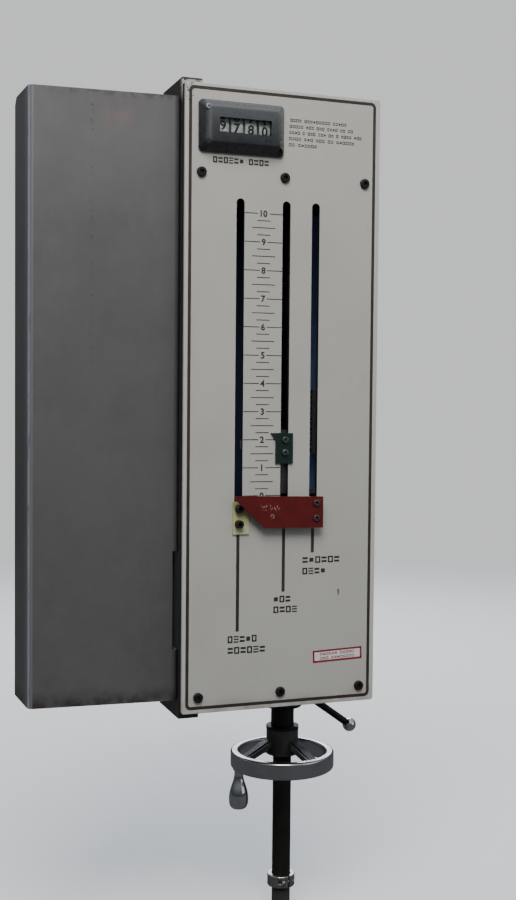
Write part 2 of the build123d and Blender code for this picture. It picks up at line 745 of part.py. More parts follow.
# Lower shaft and its split clamp collar
lower_end = below(lower_shaft_end_drop)
with BuildPart() as lower_shaft_piece:
    with BuildSketch(Plane.XY.offset(lower_end)):
        with Locations((screw_x, screw_y)):
            Circle(lower_shaft / 2)
    extrude(amount=shaft_meet_z - lower_end)
    chamfer(lower_shaft_piece.edges().group_by(Axis.Z)[0], lower_shaft_edge)
keep(lower_shaft_piece.part, "lower_shaft")
split_top = below(split_collar_top_drop)
slit_turn = radians(split_turn)
across = (cos(slit_turn), sin(slit_turn), 0)
clamp_side = (sin(slit_turn), -cos(slit_turn), 0)
clamp_offset = (split_collar_outer + lower_shaft) / 4
clamp_origin = (screw_x + across[0] * clamp_offset, screw_y + across[1] * clamp_offset,
                split_top - split_collar_height / 2)
clamp_plane = Plane(origin=clamp_origin, x_dir=(0, 0, 1), z_dir=clamp_side)
with BuildPart() as split_collar:
    with BuildSketch(Plane.XY.offset(split_top - split_collar_height)):
        with Locations((screw_x, screw_y)):
            Circle(split_collar_outer / 2)
            Circle(lower_shaft / 2, mode=Mode.SUBTRACT)
    extrude(amount=split_collar_height)
    ends = split_collar.edges().group_by(Axis.Z)
    chamfer(ends[-1] + ends[0], split_chamfer)
    slit_origin = (screw_x + across[0] * split_collar_outer / 2,
                   screw_y + across[1] * split_collar_outer / 2, split_top - split_collar_height)
    with BuildSketch(Plane(origin=slit_origin, x_dir=across, z_dir=(0, 0, 1))):
        Rectangle(split_collar_outer / 2, split_slit)
    extrude(amount=split_collar_height, mode=Mode.SUBTRACT)
    with BuildSketch(clamp_plane):
        Circle(clamp_shank / 2)
    extrude(amount=split_collar_outer / 2, both=True, mode=Mode.SUBTRACT)
    with BuildSketch(clamp_plane.offset(clamp_seat)):
        Circle(clamp_head / 2 + bolt_gap)
    extrude(amount=split_collar_outer / 2, mode=Mode.SUBTRACT)
keep(split_collar.part, "split_collar")
with BuildPart() as collar_screw:
    with BuildSketch(clamp_plane.offset(clamp_seat)):
        Circle(clamp_head / 2)
    extrude(amount=clamp_head_height)
    with BuildSketch(clamp_plane.offset(clamp_seat)):
        Circle(clamp_shank / 2)
    extrude(amount=-clamp_length)
    with BuildSketch(clamp_plane.offset(clamp_seat + clamp_head_height)):
        RegularPolygon(clamp_head * socket_share / 2, 6)
    extrude(amount=-clamp_head_height / 2, mode=Mode.SUBTRACT)
keep(collar_screw.part, "split_collar_screw")

# Lock nut with its inclined lever and ball
lock_nut_top = lower_bar_bottom - seat_gap
nose_clear = nose_outer / 2 + running_gap
lock_nut_side = lock_nut_outer / 2
lock_nut_face = lock_nut_side - lock_nut_edge
lock_nut_round = turned([(nose_clear, lock_nut_top), (lock_nut_face, lock_nut_top),
                         (lock_nut_side, lock_nut_top - lock_nut_edge),
                         (lock_nut_side, lock_nut_bottom + lock_nut_edge),
                         (lock_nut_face, lock_nut_bottom), (lock_nut_lip_bore / 2, lock_nut_bottom),
                         (lock_nut_lip_bore / 2, lock_nut_bottom + lock_nut_lip),
                         (nose_clear, lock_nut_bottom + lock_nut_lip)], screw_x, screw_y)
slope = radians(lever_drop_angle)
lever_dir = (cos(slope), 0, -sin(slope))
lever_start_radius = nose_outer / 2 + lever_root_cover
lever_root_z = panel_bottom_z + lever_root_rise
lever_root = (screw_x + lever_start_radius, screw_y, lever_root_z - lever_start_radius * tan(slope))
lever_plane = Plane(origin=lever_root, x_dir=(0, 1, 0), z_dir=lever_dir)
lever_span = (lever_reach - lever_start_radius) / cos(slope)
rod_length = lever_span - lever_ball * ball_seat_share
with BuildPart() as lock_nut:
    add(lock_nut_round.part)
    with BuildSketch(lever_plane):
        Circle(lever_rod / 2)
    extrude(amount=lock_nut_outer, mode=Mode.SUBTRACT)
keep(lock_nut.part, "lock_nut")
with BuildPart() as lock_rod:
    with BuildSketch(lever_plane):
        Circle(lever_rod / 2)
    extrude(amount=rod_length)
keep(lock_rod.part, "lock_lever_rod")
ball_centre = tuple(o + d * lever_span for o, d in zip(lever_root, lever_dir))
with BuildPart() as lock_ball:
    with Locations(ball_centre):
        Sphere(lever_ball / 2)
    with BuildSketch(lever_plane):
        Circle(lever_rod / 2)
    extrude(amount=rod_length, mode=Mode.SUBTRACT)
keep(lock_ball.part, "lock_lever_ball")

# Guide rod that keeps the carriage from turning, seated in both cross bars
guide_bottom = lower_bar_top - guide_seat_depth
guide_top = upper_bar_bottom + guide_seat_depth
with BuildPart() as guide:
    with BuildSketch(Plane.XY.offset(guide_bottom)):
        with Locations((guide_rod_x, guide_rod_y)):
            Circle(guide_rod / 2)
    extrude(amount=guide_top - guide_bottom)
keep(guide.part, "guide_rod")

# Counter bezel: a low foot, four sloping sides and a sunk window, with a pocket for the number wheels
bezel_plane = facing(front_y)
wheels_stand = sqrt(wheel_radius ** 2 - wheel_setback ** 2)
pocket_width = view_width + 2 * glass_lap
pocket_height = 2 * (wheels_stand + wheel_clearance)
pocket_depth = bezel_proud - bezel_front_wall - glass_thick
bezel_screw_plane = bezel_plane.offset(bezel_screw_seat)
corner_screw_plane = bezel_plane.offset(corner_screw_seat)
with BuildPart() as counter_bezel:
    with BuildSketch(bezel_plane):
        with Locations((counter_x, counter_z)):
            RectangleRounded(bezel_width, bezel_height, bezel_corner)
    extrude(amount=bezel_foot)
    for proud, inset in ((bezel_foot, 0), (bezel_proud, bezel_slope)):
        with BuildSketch(bezel_plane.offset(proud)):
            with Locations((counter_x, counter_z)):
                RectangleRounded(bezel_width - 2 * inset, bezel_height - 2 * inset, bezel_corner)
    loft()
    fillet(counter_bezel.edges().group_by(Axis.Y)[0], bezel_round)
    with BuildSketch(bezel_plane):
        with Locations((wheels_x, counter_z)):
            Rectangle(pocket_width, pocket_height)
    extrude(amount=pocket_depth, mode=Mode.SUBTRACT)
    with BuildSketch(bezel_plane.offset(pocket_depth)):
        with Locations((wheels_x, counter_z)):
            Rectangle(pocket_width, view_height + 2 * glass_lap)
    extrude(amount=glass_thick, mode=Mode.SUBTRACT)
    with BuildSketch(bezel_plane.offset(pocket_depth)):
        with Locations((wheels_x, counter_z)):
            Rectangle(view_width, view_height)
    extrude(amount=bezel_proud, mode=Mode.SUBTRACT)
    for seat, point in ((bezel_screw_plane, bezel_screw_point), (corner_screw_plane, corner_screw_point)):
        with BuildSketch(seat):
            with Locations(point):
                Circle(bezel_screw_head / 2 + bolt_gap)
        extrude(amount=bezel_proud, mode=Mode.SUBTRACT)
        with BuildSketch(seat):
            with Locations(point):
                Circle(bezel_screw_shank / 2 + running_gap)
        extrude(amount=-bezel_proud, mode=Mode.SUBTRACT)
keep(counter_bezel.part, "counter_bezel")
bezel_screws = [
    button_screws(plane, [point], bezel_screw_shank, bezel_screw_head, bezel_screw_head_height,
                  seat + bezel_screw_grip)
    for plane, point, seat in ((bezel_screw_plane, bezel_screw_point, bezel_screw_seat),
                               (corner_screw_plane, corner_screw_point, corner_screw_seat))
]
keep(bezel_screws[0] + bezel_screws[1], "bezel_screws")
with BuildPart() as counter_window:
    with BuildSketch(bezel_plane.offset(pocket_depth)):
        with Locations((wheels_x, counter_z)):
            Rectangle(pocket_width - seat_gap, view_height + 2 * glass_lap - seat_gap)
    extrude(amount=glass_thick)
keep(counter_window.part, "counter_window")

# Counter case: a can behind the bezel, through the panel's opening
with BuildPart() as counter_case:
    with BuildSketch(facing(case_back_y)):
        with Locations((counter_x, counter_z)):
            Rectangle(case_width, case_height)
    extrude(amount=case_back_y - front_y)
    with BuildSketch(facing(case_back_y - case_wall)):
        with Locations((counter_x, counter_z)):
            Rectangle(case_width - 2 * case_wall, case_height - 2 * case_wall)
    extrude(amount=case_back_y - case_wall - front_y, mode=Mode.SUBTRACT)
keep(counter_case.part, "counter_case")
axle_y = front_y + wheel_setback
with BuildPart() as counter_axle:
    with BuildSketch(Plane.YZ.offset(counter_x - case_width / 2 + case_wall)):
        with Locations((axle_y, counter_z)):
            Circle(axle / 2)
    extrude(amount=case_width - 2 * case_wall)
keep(counter_axle.part, "counter_axle")

# Number wheels: rims on thin webs, whose hubs fill the pitch along the axle
for k, place in enumerate(wheel_names):
    middle = wheels_x + (k - (len(wheel_names) - 1) / 2) * wheel_pitch
    hub_half = (wheel_pitch - seat_gap) / 2
    with BuildPart() as number_wheel:
        with BuildSketch(Plane(origin=(middle, axle_y, counter_z), x_dir=(1, 0, 0), z_dir=(0, 0, 1))):
            with BuildLine():
                half = [(hub_half, axle / 2 + running_gap), (hub_half, wheel_hub_radius),
                        (wheel_web / 2, wheel_hub_radius), (wheel_web / 2, wheel_radius - wheel_rim),
                        (wheel_width / 2, wheel_radius - wheel_rim), (wheel_width / 2, wheel_radius)]
                Polyline(*half, *[(-x, r) for x, r in reversed(half)], close=True)
            make_face()
        revolve(axis=Axis((middle, axle_y, counter_z), (1, 0, 0)))
    keep(number_wheel.part, f"number_wheel_{place}")

# Counter gearbox and input shaft, level with the top of the lead screw
gearbox_right = counter_x + case_width / 2
gearbox_depth = 2 * (screw_y - case_back_y)
with BuildPart() as counter_gearbox:
    with BuildSketch(Plane.YZ.offset(gearbox_right)):
        with Locations((screw_y, counter_z)):
            RectangleRounded(gearbox_depth, gearbox_height, gearbox_corner)
    extrude(amount=-gearbox_width)
    with BuildSketch(Plane.YZ.offset(gearbox_right)):
        with Locations((screw_y, counter_z)):
            Circle(counter_shaft)
    extrude(amount=gearbox_boss)
    with BuildSketch(Plane.YZ.offset(gearbox_right + gearbox_boss)):
        with Locations((screw_y, counter_z)):
            Circle(counter_shaft / 2 + running_gap)
    extrude(amount=-gearbox_width, mode=Mode.SUBTRACT)
keep(counter_gearbox.part, "counter_gearbox")
input_left = gearbox_right + gearbox_boss - gearbox_width + seat_gap
with BuildPart() as input_shaft:
    with BuildSketch(Plane.YZ.offset(input_left)):
        with Locations((screw_y, counter_z)):
            Circle(counter_shaft / 2)
    extrude(amount=screw_x - gear_radius + gear_module - input_left)
keep(input_shaft.part, "counter_shaft")


# Limit switches: a block with a stub shaft on its left, a lever on the stub and a roller on the lever's pin
def limit_switch(name, x, y, top):
    """Writes a switch whose front is at y, with its three pieces."""
    left = x - switch_width / 2
    pivot = (y + switch_depth * pivot_share, top - switch_cap - lever_width / 2 - pivot_drop)
    roller_at = (pivot[0] + lever_length, pivot[1])
    lever_right = left - lever_gap
    with BuildPart() as switch:
        with BuildSketch(Plane.XY.offset(top - switch_height)):
            with Locations((x, y + switch_depth / 2)):
                RectangleRounded(switch_width, switch_depth, switch_corner)
        extrude(amount=switch_height - switch_cap)
        with BuildSketch(Plane.XY.offset(top - switch_cap)):
            with Locations((x, y + switch_depth / 2)):
                RectangleRounded(switch_width - 2 * switch_cap_inset, switch_depth - 2 * switch_cap_inset,
                                 switch_corner)
        extrude(amount=switch_cap)
        with BuildSketch(Plane.YZ.offset(left)):
            with Locations(pivot):
                Circle(stub / 2)
        extrude(amount=-(lever_thick + stub_end))
    keep(switch.part, f"{name}_switch")
    with BuildPart() as lever:
        with BuildSketch(Plane.YZ.offset(lever_right)):
            with Locations((pivot[0] + lever_length / 2, pivot[1])):
                SlotCenterToCenter(lever_length, lever_width)
            with Locations(pivot):
                Circle(stub / 2 + running_gap, mode=Mode.SUBTRACT)
        extrude(amount=-lever_thick)
        with BuildSketch(Plane.YZ.offset(lever_right - lever_thick)):
            with Locations(roller_at):
                Circle(roller_pin / 2)
        extrude(amount=-(roller_width + 3 * seat_gap))
    keep(lever.part, f"{name}_switch_lever")
    with BuildPart() as roller:
        with BuildSketch(Plane.YZ.offset(lever_right - lever_thick - seat_gap)):
            with Locations(roller_at):
                Circle(roller_outer / 2)
                Circle(roller_pin / 2 + running_gap, mode=Mode.SUBTRACT)
        extrude(amount=-roller_width)
        chamfer(roller.edges().filter_by(GeomType.CIRCLE).sort_by(SortBy.RADIUS)[-2:], roller_chamfer)
    keep(roller.part, f"{name}_switch_roller")


# Stops that are clamped on the panel: a pointer in front, a carrier behind, and two screws through the slot
def pointer(outline, holes, y):
    """A flat plate of this outline whose back is at y, with holes for its screws."""
    with BuildPart() as plate:
        with BuildSketch(facing(y)):
            with BuildLine():
                Polyline(*outline, close=True)
            make_face()
            with Locations(holes):
                Circle(stop_screw / 2 + running_gap, mode=Mode.SUBTRACT)
        extrude(amount=stop_plate)
    return plate.part


def carrier(x, screw_zs):
    """The block behind the panel, with a shoe that fills the gasket's opening and holes for the screws."""
    top = max(screw_zs) + shoe_top
    with BuildPart() as block:
        with BuildSketch(facing(frame_y + seat_gap)):
            with Locations((x, top - shoe_height / 2)):
                RectangleRounded(shoe_width, shoe_height, shoe_corner)
        extrude(amount=frame_y + seat_gap - panel_back_y)
        with BuildSketch(facing(frame_y + seat_gap + carrier_thick)):
            with Locations((x, top - shoe_height / 2)):
                RectangleRounded(carrier_width, shoe_height, shoe_corner)
        extrude(amount=carrier_thick)
        with BuildSketch(facing(panel_back_y)):
            with Locations([(x, z) for z in screw_zs]):
                Circle(stop_screw / 2 + running_gap)
        extrude(amount=-carrier_hole_depth, mode=Mode.SUBTRACT)
    return block.part


carrier_hole_depth = gasket_thick + carrier_thick * 3 / 4
stop_screw_length = panel_thick + stop_plate + carrier_hole_depth - screw_end_gap
switch_y = frame_y + seat_gap + carrier_thick
top_edge = top_x - top_left
top_foot = top_read_z - top_height
top_holes = [(top_x, z) for z in top_screw_zs]
top_outline = [(top_edge - top_tip, top_read_z), (top_x + top_right, top_read_z),
               (top_x + top_right, top_foot), (top_edge, top_foot), (top_edge, top_read_z - tip_drop)]
keep(pointer(top_outline, top_holes, front_y), "top_stop_pointer")
top_screws = button_screws(facing(front_y - stop_plate), top_holes, stop_screw, stop_head, stop_head_height,
                           stop_screw_length)
keep(top_screws, "top_stop_screws")
keep(carrier(top_x, top_screw_zs), "top_stop_carrier")
limit_switch("top_stop", top_x, switch_y, max(top_screw_zs) + shoe_top - switch_below_shoe)

speed_edge = speed_x + speed_right
speed_foot = speed_read_z - speed_height
speed_holes = [(speed_x, z) for z in speed_screw_zs]
speed_outline = [(speed_x - speed_left, speed_read_z), (speed_edge + speed_tip, speed_read_z),
                 (speed_edge, speed_read_z - tip_drop), (speed_edge, speed_foot),
                 (speed_x - speed_left, speed_foot)]
keep(pointer(speed_outline, speed_holes, front_y), "speed_change_pointer")
speed_screws = button_screws(facing(front_y - stop_plate), speed_holes, stop_screw, speed_head,
                             speed_head_height, stop_screw_length)
keep(speed_screws, "speed_change_screws")
keep(carrier(speed_x, speed_screw_zs), "speed_change_carrier")
limit_switch("speed_change", speed_x, switch_y, max(speed_screw_zs) + shoe_top - switch_below_shoe)

# Bottom stop: a carriage on the lead screw, whose narrow arm comes out through its slot and holds the flag
carriage_bottom = carriage_top - carriage_height
carriage_front = screw_y - carriage_half_depth
carriage_back = screw_y + carriage_half_depth
flag_back = front_y - flag_standoff
boss_height = bottom_screw_zs[0] - bottom_screw_zs[1] + boss_width
boss_mid_z = sum(bottom_screw_zs) / 2
flag_holes = [(bottom_x, z) for z in bottom_screw_zs]
flag_corners = ((-flag_tip_left, 0), (flag_right, 0), (flag_right, flag_height),
                (-flag_foot_left, flag_height), (-flag_tip_left, flag_tip_height))
flag_fall = tan(radians(flag_droop))
flag_outline = [(bottom_x + x, scale_zero_z - drop - (bottom_x + x - scale_x) * flag_fall)
                for x, drop in flag_corners]
keep(pointer(flag_outline, flag_holes, flag_back), "bottom_stop_flag")
flag_screws = button_screws(facing(flag_back - stop_plate), flag_holes, stop_screw, stop_head,
                            stop_head_height, flag_screw_length)
keep(flag_screws, "bottom_stop_screws")
carriage_width = guide_rod_x + carriage_right - screw_x + carriage_left
with BuildPart() as carriage:
    with BuildSketch(Plane.XY.offset(carriage_bottom)):
        with Locations(((screw_x - carriage_left + guide_rod_x + carriage_right) / 2, screw_y)):
            RectangleRounded(carriage_width, 2 * carriage_half_depth, carriage_corner)
        with Locations((guide_rod_x, (screw_y + guide_rod_y + carriage_right) / 2)):
            RectangleRounded(2 * carriage_right, guide_rod_y + carriage_right - screw_y, carriage_corner)
        with Locations((screw_x, screw_y)):
            Circle(nut_outer / 2, mode=Mode.SUBTRACT)
        with Locations((guide_rod_x, guide_rod_y)):
            Circle(guide_rod / 2 + running_gap, mode=Mode.SUBTRACT)
    extrude(amount=carriage_height)
    with BuildSketch(facing(carriage_front)):
        with Locations((bottom_x, boss_mid_z)):
            Rectangle(boss_width, boss_height)
    extrude(amount=carriage_front - frame_y)
    with BuildSketch(facing(carriage_front)):
        with Locations((bottom_x, boss_mid_z)):
            SlotOverall(boss_height, boss_width, rotation=90)
    extrude(amount=carriage_front - flag_back)
    with BuildSketch(facing(flag_back)):
        with Locations(flag_holes):
            Circle(stop_screw / 2 + running_gap)
    extrude(amount=-flag_screw_length, mode=Mode.SUBTRACT)
keep(carriage.part, "bottom_stop_carriage")
nut_bore = screw_outer / 2 + running_gap
flange_bottom = carriage_bottom - nut_flange_thick
nut = turned([(nut_bore, flange_bottom), (nut_flange / 2, flange_bottom), (nut_flange / 2, carriage_bottom),
              (nut_outer / 2, carriage_bottom), (nut_outer / 2, carriage_top), (nut_bore, carriage_top)],
             screw_x, screw_y)
keep(nut.part, "bottom_stop_nut")
stop_collar_top = flange_bottom - seat_gap
stop_collar_foot = stop_collar_top - stop_collar_height
stop_collar = turned([(screw_outer / 2, stop_collar_foot), (stop_collar_outer / 2, stop_collar_foot),
                      (stop_collar_outer / 2, stop_collar_top), (screw_outer / 2, stop_collar_top)],
                     screw_x, screw_y)
keep(stop_collar.part, "screw_stop_collar")
limit_switch("bottom_stop", bottom_x + switch_offset, carriage_back, carriage_top)

# Terminal strip at the back of the right-hand wall, with barriers between its poles
terminal_y = -terminal_back - terminal_width / 2
bay = (terminal_height - terminal_barrier * (terminal_poles + 1)) / terminal_poles
middle_pole = (terminal_poles - 1) / 2
bay_zs = [terminal_z + (k - middle_pole) * (bay + terminal_barrier) for k in range(terminal_poles)]
with BuildPart() as terminal_strip:
    with BuildSketch(Plane.YZ.offset(inner_right_x)):
        with Locations((terminal_y, terminal_z)):
            Rectangle(terminal_width, terminal_height)
    extrude(amount=-terminal_depth)
    with BuildSketch(Plane.YZ.offset(inner_right_x - terminal_depth)):
        with Locations([(terminal_y, z) for z in bay_zs]):
            Rectangle(terminal_width, bay)
    extrude(amount=terminal_bay_depth, mode=Mode.SUBTRACT)
keep(terminal_strip.part, "terminal_strip")
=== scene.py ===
import json
from math import cos, pi, radians, sin

import bmesh
import bpy
from mathutils import Matrix, Vector

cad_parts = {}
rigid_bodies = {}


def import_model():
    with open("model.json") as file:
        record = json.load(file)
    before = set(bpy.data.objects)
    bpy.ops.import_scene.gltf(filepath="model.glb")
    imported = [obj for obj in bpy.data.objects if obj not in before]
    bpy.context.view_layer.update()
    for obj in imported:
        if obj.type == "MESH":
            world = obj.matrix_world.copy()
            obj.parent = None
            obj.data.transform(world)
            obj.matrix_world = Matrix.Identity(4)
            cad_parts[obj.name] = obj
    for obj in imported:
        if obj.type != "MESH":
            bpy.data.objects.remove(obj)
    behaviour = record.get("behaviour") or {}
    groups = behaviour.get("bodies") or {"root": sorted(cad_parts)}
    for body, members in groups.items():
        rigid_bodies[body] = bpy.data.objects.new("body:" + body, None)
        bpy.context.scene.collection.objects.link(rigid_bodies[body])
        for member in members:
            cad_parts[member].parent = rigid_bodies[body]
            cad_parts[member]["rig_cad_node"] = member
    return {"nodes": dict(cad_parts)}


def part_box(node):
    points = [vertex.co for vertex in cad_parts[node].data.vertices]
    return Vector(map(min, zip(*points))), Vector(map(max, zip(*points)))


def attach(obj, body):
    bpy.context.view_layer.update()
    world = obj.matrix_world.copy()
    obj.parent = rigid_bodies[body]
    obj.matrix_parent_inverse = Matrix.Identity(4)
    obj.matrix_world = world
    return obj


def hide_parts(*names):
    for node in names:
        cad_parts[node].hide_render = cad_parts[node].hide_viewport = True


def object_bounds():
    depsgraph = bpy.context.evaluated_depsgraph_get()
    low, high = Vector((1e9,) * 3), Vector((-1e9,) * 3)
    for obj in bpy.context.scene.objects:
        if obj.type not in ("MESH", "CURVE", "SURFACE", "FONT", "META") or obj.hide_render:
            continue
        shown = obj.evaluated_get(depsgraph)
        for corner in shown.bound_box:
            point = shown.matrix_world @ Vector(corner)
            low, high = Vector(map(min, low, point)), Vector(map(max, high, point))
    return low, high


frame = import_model()
nodes = frame["nodes"]
cadBox = [list(corner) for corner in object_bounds()]
mm = 0.001
print("stage: frame loaded,", len(nodes), "nodes")


# Camera and lights

camera = {"place": (-0.3987, -1.1811, 0.0018), "yaw": 19.96, "down": 2.36, "roll": 0.51, "lens": 48.64,
          "sensor": 36}
cameraData = bpy.data.cameras.new("photoCamera")
cameraData.lens = camera["lens"]
cameraData.sensor_width = camera["sensor"]
photoCamera = bpy.data.objects.new("photoCamera", cameraData)
bpy.context.scene.collection.objects.link(photoCamera)
photoCamera.matrix_world = (Matrix.Translation(camera["place"])
                            @ Matrix.Rotation(-radians(camera["yaw"]), 4, "Z")
                            @ Matrix.Rotation(radians(90 - camera["down"]), 4, "X")
                            @ Matrix.Rotation(radians(camera["roll"]), 4, "Z"))
bpy.context.scene.camera = photoCamera

lights = {
    "keyLight": {"place": (-0.45, -1.30, 1.45), "size": 1.0, "power": 34, "colour": (1.0, 0.99, 0.97)},
    "fillLight": {"place": (1.7, -1.6, 0.5), "size": 1.6, "power": 7, "colour": (0.92, 0.96, 1.0)},
    "backLight": {"place": (0.7, 2.0, 1.2), "size": 1.6, "power": 50, "colour": (0.94, 0.97, 1.0)},
}
for name, light in lights.items():
    data = bpy.data.lights.new(name, "AREA")
    data.size = light["size"]
    data.energy = light["power"]
    data.color = light["colour"]
    lamp = bpy.data.objects.new(name, data)
    lamp.location = light["place"]
    lamp.rotation_euler = (-Vector(light["place"])).to_track_quat("-Z", "Y").to_euler()
    bpy.context.scene.collection.objects.link(lamp)

room = {"backdrop": (0.740, 0.750, 0.760), "ceiling": (0.74, 0.80, 0.88), "dim": 0.10, "bright": 0.72,
        "startsAt": 0.02, "fullAt": 0.85}
world = bpy.data.worlds.new("paleRoom")
world.use_nodes = True
roomTree = world.node_tree
seen = roomTree.nodes["Background"]
seen.inputs["Color"].default_value = (*room["backdrop"], 1)
skyLight = roomTree.nodes.new("ShaderNodeBackground")
skyLight.inputs["Color"].default_value = (*room["ceiling"], 1)
skyCoords = roomTree.nodes.new("ShaderNodeTexCoord")
skySplit = roomTree.nodes.new("ShaderNodeSeparateXYZ")
skySpan = roomTree.nodes.new("ShaderNodeMapRange")
skySpan.interpolation_type = "SMOOTHSTEP"
skyRange = {"From Min": room["startsAt"], "From Max": room["fullAt"], "To Min": room["dim"],
            "To Max": room["bright"]}
for socketName, value in skyRange.items():
    skySpan.inputs[socketName].default_value = value
roomTree.links.new(skyCoords.outputs["Generated"], skySplit.inputs["Vector"])
roomTree.links.new(skySplit.outputs["Z"], skySpan.inputs["Value"])
roomTree.links.new(skySpan.outputs["Result"], skyLight.inputs["Strength"])
rayKind = roomTree.nodes.new("ShaderNodeLightPath")
roomMix = roomTree.nodes.new("ShaderNodeMixShader")
roomTree.links.new(rayKind.outputs["Is Camera Ray"], roomMix.inputs["Fac"])
roomTree.links.new(skyLight.outputs["Background"], roomMix.inputs[1])
roomTree.links.new(seen.outputs["Background"], roomMix.inputs[2])
roomTree.links.new(roomMix.outputs["Shader"], roomTree.nodes["World Output"].inputs["Surface"])
bpy.context.scene.world = world
print("stage: camera and lights")


# Finishes

def newFinish(name, colour, metal=0.0, rough=0.5, coat=0.0):
    material = bpy.data.materials.new(name)
    material.use_nodes = True
    tree = material.node_tree
    shader = tree.nodes["Principled BSDF"]
    shader.inputs["Base Color"].default_value = (*colour, 1)
    shader.inputs["Metallic"].default_value = metal
    shader.inputs["Roughness"].default_value = rough
    shader.inputs["Coat Weight"].default_value = coat
    return material


def part(material, kind):
    return material.node_tree.nodes.new("ShaderNode" + kind)


def join(material, fromSocket, toSocket):
    material.node_tree.links.new(fromSocket, toSocket)


# Object coordinates, stretched and then shifted
def place(material, stretch=(1, 1, 1), shift=(0, 0, 0)):
    coords = part(material, "TexCoord")
    mapping = part(material, "Mapping")
    mapping.inputs["Scale"].default_value = stretch
    mapping.inputs["Location"].default_value = shift
    join(material, coords.outputs["Object"], mapping.inputs["Vector"])
    return mapping.outputs["Vector"]


# Noise of this grain in millimetres, dark below low and light above high
def cloud(material, size, low, high, detail=6, stretch=(1, 1, 1), shift=(0, 0, 0), rough=0.6):
    noise = part(material, "TexNoise")
    noise.inputs["Scale"].default_value = 1 / (size * mm)
    noise.inputs["Detail"].default_value = detail
    noise.inputs["Roughness"].default_value = rough
    join(material, place(material, stretch, shift), noise.inputs["Vector"])
    return ranged(material, noise.outputs["Fac"], low, high)


def ranged(material, socket, low, high):
    span = part(material, "MapRange")
    span.interpolation_type = "SMOOTHSTEP"
    span.inputs["From Min"].default_value = low
    span.inputs["From Max"].default_value = high
    join(material, socket, span.inputs["Value"])
    return span.outputs["Result"]


# Dark at the first place on the axis, light at the second
def along(material, axis, low, high):
    split = part(material, "SeparateXYZ")
    coords = part(material, "TexCoord")
    join(material, coords.outputs["Object"], split.inputs["Vector"])
    return ranged(material, split.outputs[axis], low * mm, high * mm)


def both(material, first, second, how="MULTIPLY"):
    product = part(material, "Math")
    product.operation = how
    product.use_clamp = True
    join(material, first, product.inputs[0])
    if isinstance(second, float):
        product.inputs[1].default_value = second
    else:
        join(material, second, product.inputs[1])
    return product.outputs["Value"]


# Light between two places on the axis, with soft edges within them
def inside(material, axis, low, high, soft):
    return both(material, along(material, axis, low, low + soft), along(material, axis, high, high - soft))


def boxed(material, xs, zs, soft):
    return both(material, inside(material, "X", *xs, soft), inside(material, "Z", *zs, soft))


# What the mask shows inside a place, which is a pair across and a pair up
def patch(material, spot, soft, mask):
    return both(material, boxed(material, *spot, soft), mask)


# Light within this distance of an upright axis, dark outside it
def nearAxis(material, x, y, radius, soft):
    length = part(material, "VectorMath")
    length.operation = "LENGTH"
    join(material, place(material, (1, 1, 0), (-x * mm, -y * mm, 0)), length.inputs[0])
    return ranged(material, length.outputs["Value"], (radius + soft) * mm, radius * mm)


# The colour goes over what the shader has, where the mask is light
def layColour(material, mask, colour, strength=1.0):
    shader = material.node_tree.nodes["Principled BSDF"]
    mix = part(material, "Mix")
    mix.data_type = "RGBA"
    base = shader.inputs["Base Color"]
    if base.is_linked:
        join(material, base.links[0].from_socket, mix.inputs["A"])
    else:
        mix.inputs["A"].default_value = base.default_value
    mix.inputs["B"].default_value = (*colour, 1)
    join(material, both(material, mask, strength) if strength != 1.0 else mask, mix.inputs["Factor"])
    join(material, mix.outputs["Result"], base)


def layValue(material, socketName, mask, value):
    shader = material.node_tree.nodes["Principled BSDF"]
    mix = part(material, "Mix")
    socket = shader.inputs[socketName]
    if socket.is_linked:
        join(material, socket.links[0].from_socket, mix.inputs["A"])
    else:
        mix.inputs["A"].default_value = socket.default_value
    mix.inputs["B"].default_value = value
    join(material, mask, mix.inputs["Factor"])
    join(material, mix.outputs["Result"], socket)


def layBump(material, height, depth, strength):
    shader = material.node_tree.nodes["Principled BSDF"]
    bump = part(material, "Bump")
    bump.inputs["Distance"].default_value = depth * mm
    bump.inputs["Strength"].default_value = strength
    join(material, height, bump.inputs["Height"])
    if shader.inputs["Normal"].is_linked:
        join(material, shader.inputs["Normal"].links[0].from_socket, bump.inputs["Normal"])
    join(material, bump.outputs["Normal"], shader.inputs["Normal"])


# Places are in millimetres of the part's frame

slotXs = (-42.0, 2.1, 30.7)
slotWall = {"reach": 3.95, "heights": (-116.0, 181.7), "depths": (-147.97, -147.8)}
panelPlace = {"middle": ((-90.8, 90.0), (-276.6, 277.3)), "foot": (-262, -280),
              "rustyCorner": ((-94.5, -85), (262, 281)), "scuff": ((56.0, 58.4), (-179.5, -173.0))}
panelPaint = newFinish("panelPaint", (0.500, 0.488, 0.445), rough=0.42)
layColour(panelPaint, cloud(panelPaint, 90, 0.35, 0.75), (0.462, 0.448, 0.402))
layColour(panelPaint, cloud(panelPaint, 24, 0.60, 0.80, stretch=(1, 1, 0.5)), (0.390, 0.370, 0.320), 0.45)
layColour(panelPaint, cloud(panelPaint, 1.3, 0.745, 0.76, detail=3), (0.16, 0.14, 0.11), 0.8)
# Painted highlight: the band of the panel outside the border line is made lighter
panelMiddle = boxed(panelPaint, *panelPlace["middle"], 0.5)
panelRimHighlight = both(panelPaint, cloud(panelPaint, 30, 0.0, 0.05), panelMiddle, "SUBTRACT")
layColour(panelPaint, panelRimHighlight, (0.580, 0.570, 0.530), 0.6)
panelFoot = both(panelPaint, along(panelPaint, "Z", *panelPlace["foot"]), cloud(panelPaint, 14, 0.3, 0.7))
layColour(panelPaint, panelFoot, (0.24, 0.20, 0.15), 0.6)
panelRust = patch(panelPaint, panelPlace["rustyCorner"], 3, cloud(panelPaint, 2.4, 0.50, 0.58))
layColour(panelPaint, panelRust, (0.075, 0.042, 0.026), 0.9)
panelScuff = patch(panelPaint, panelPlace["scuff"], 0.6, cloud(panelPaint, 2.0, 0.38, 0.46))
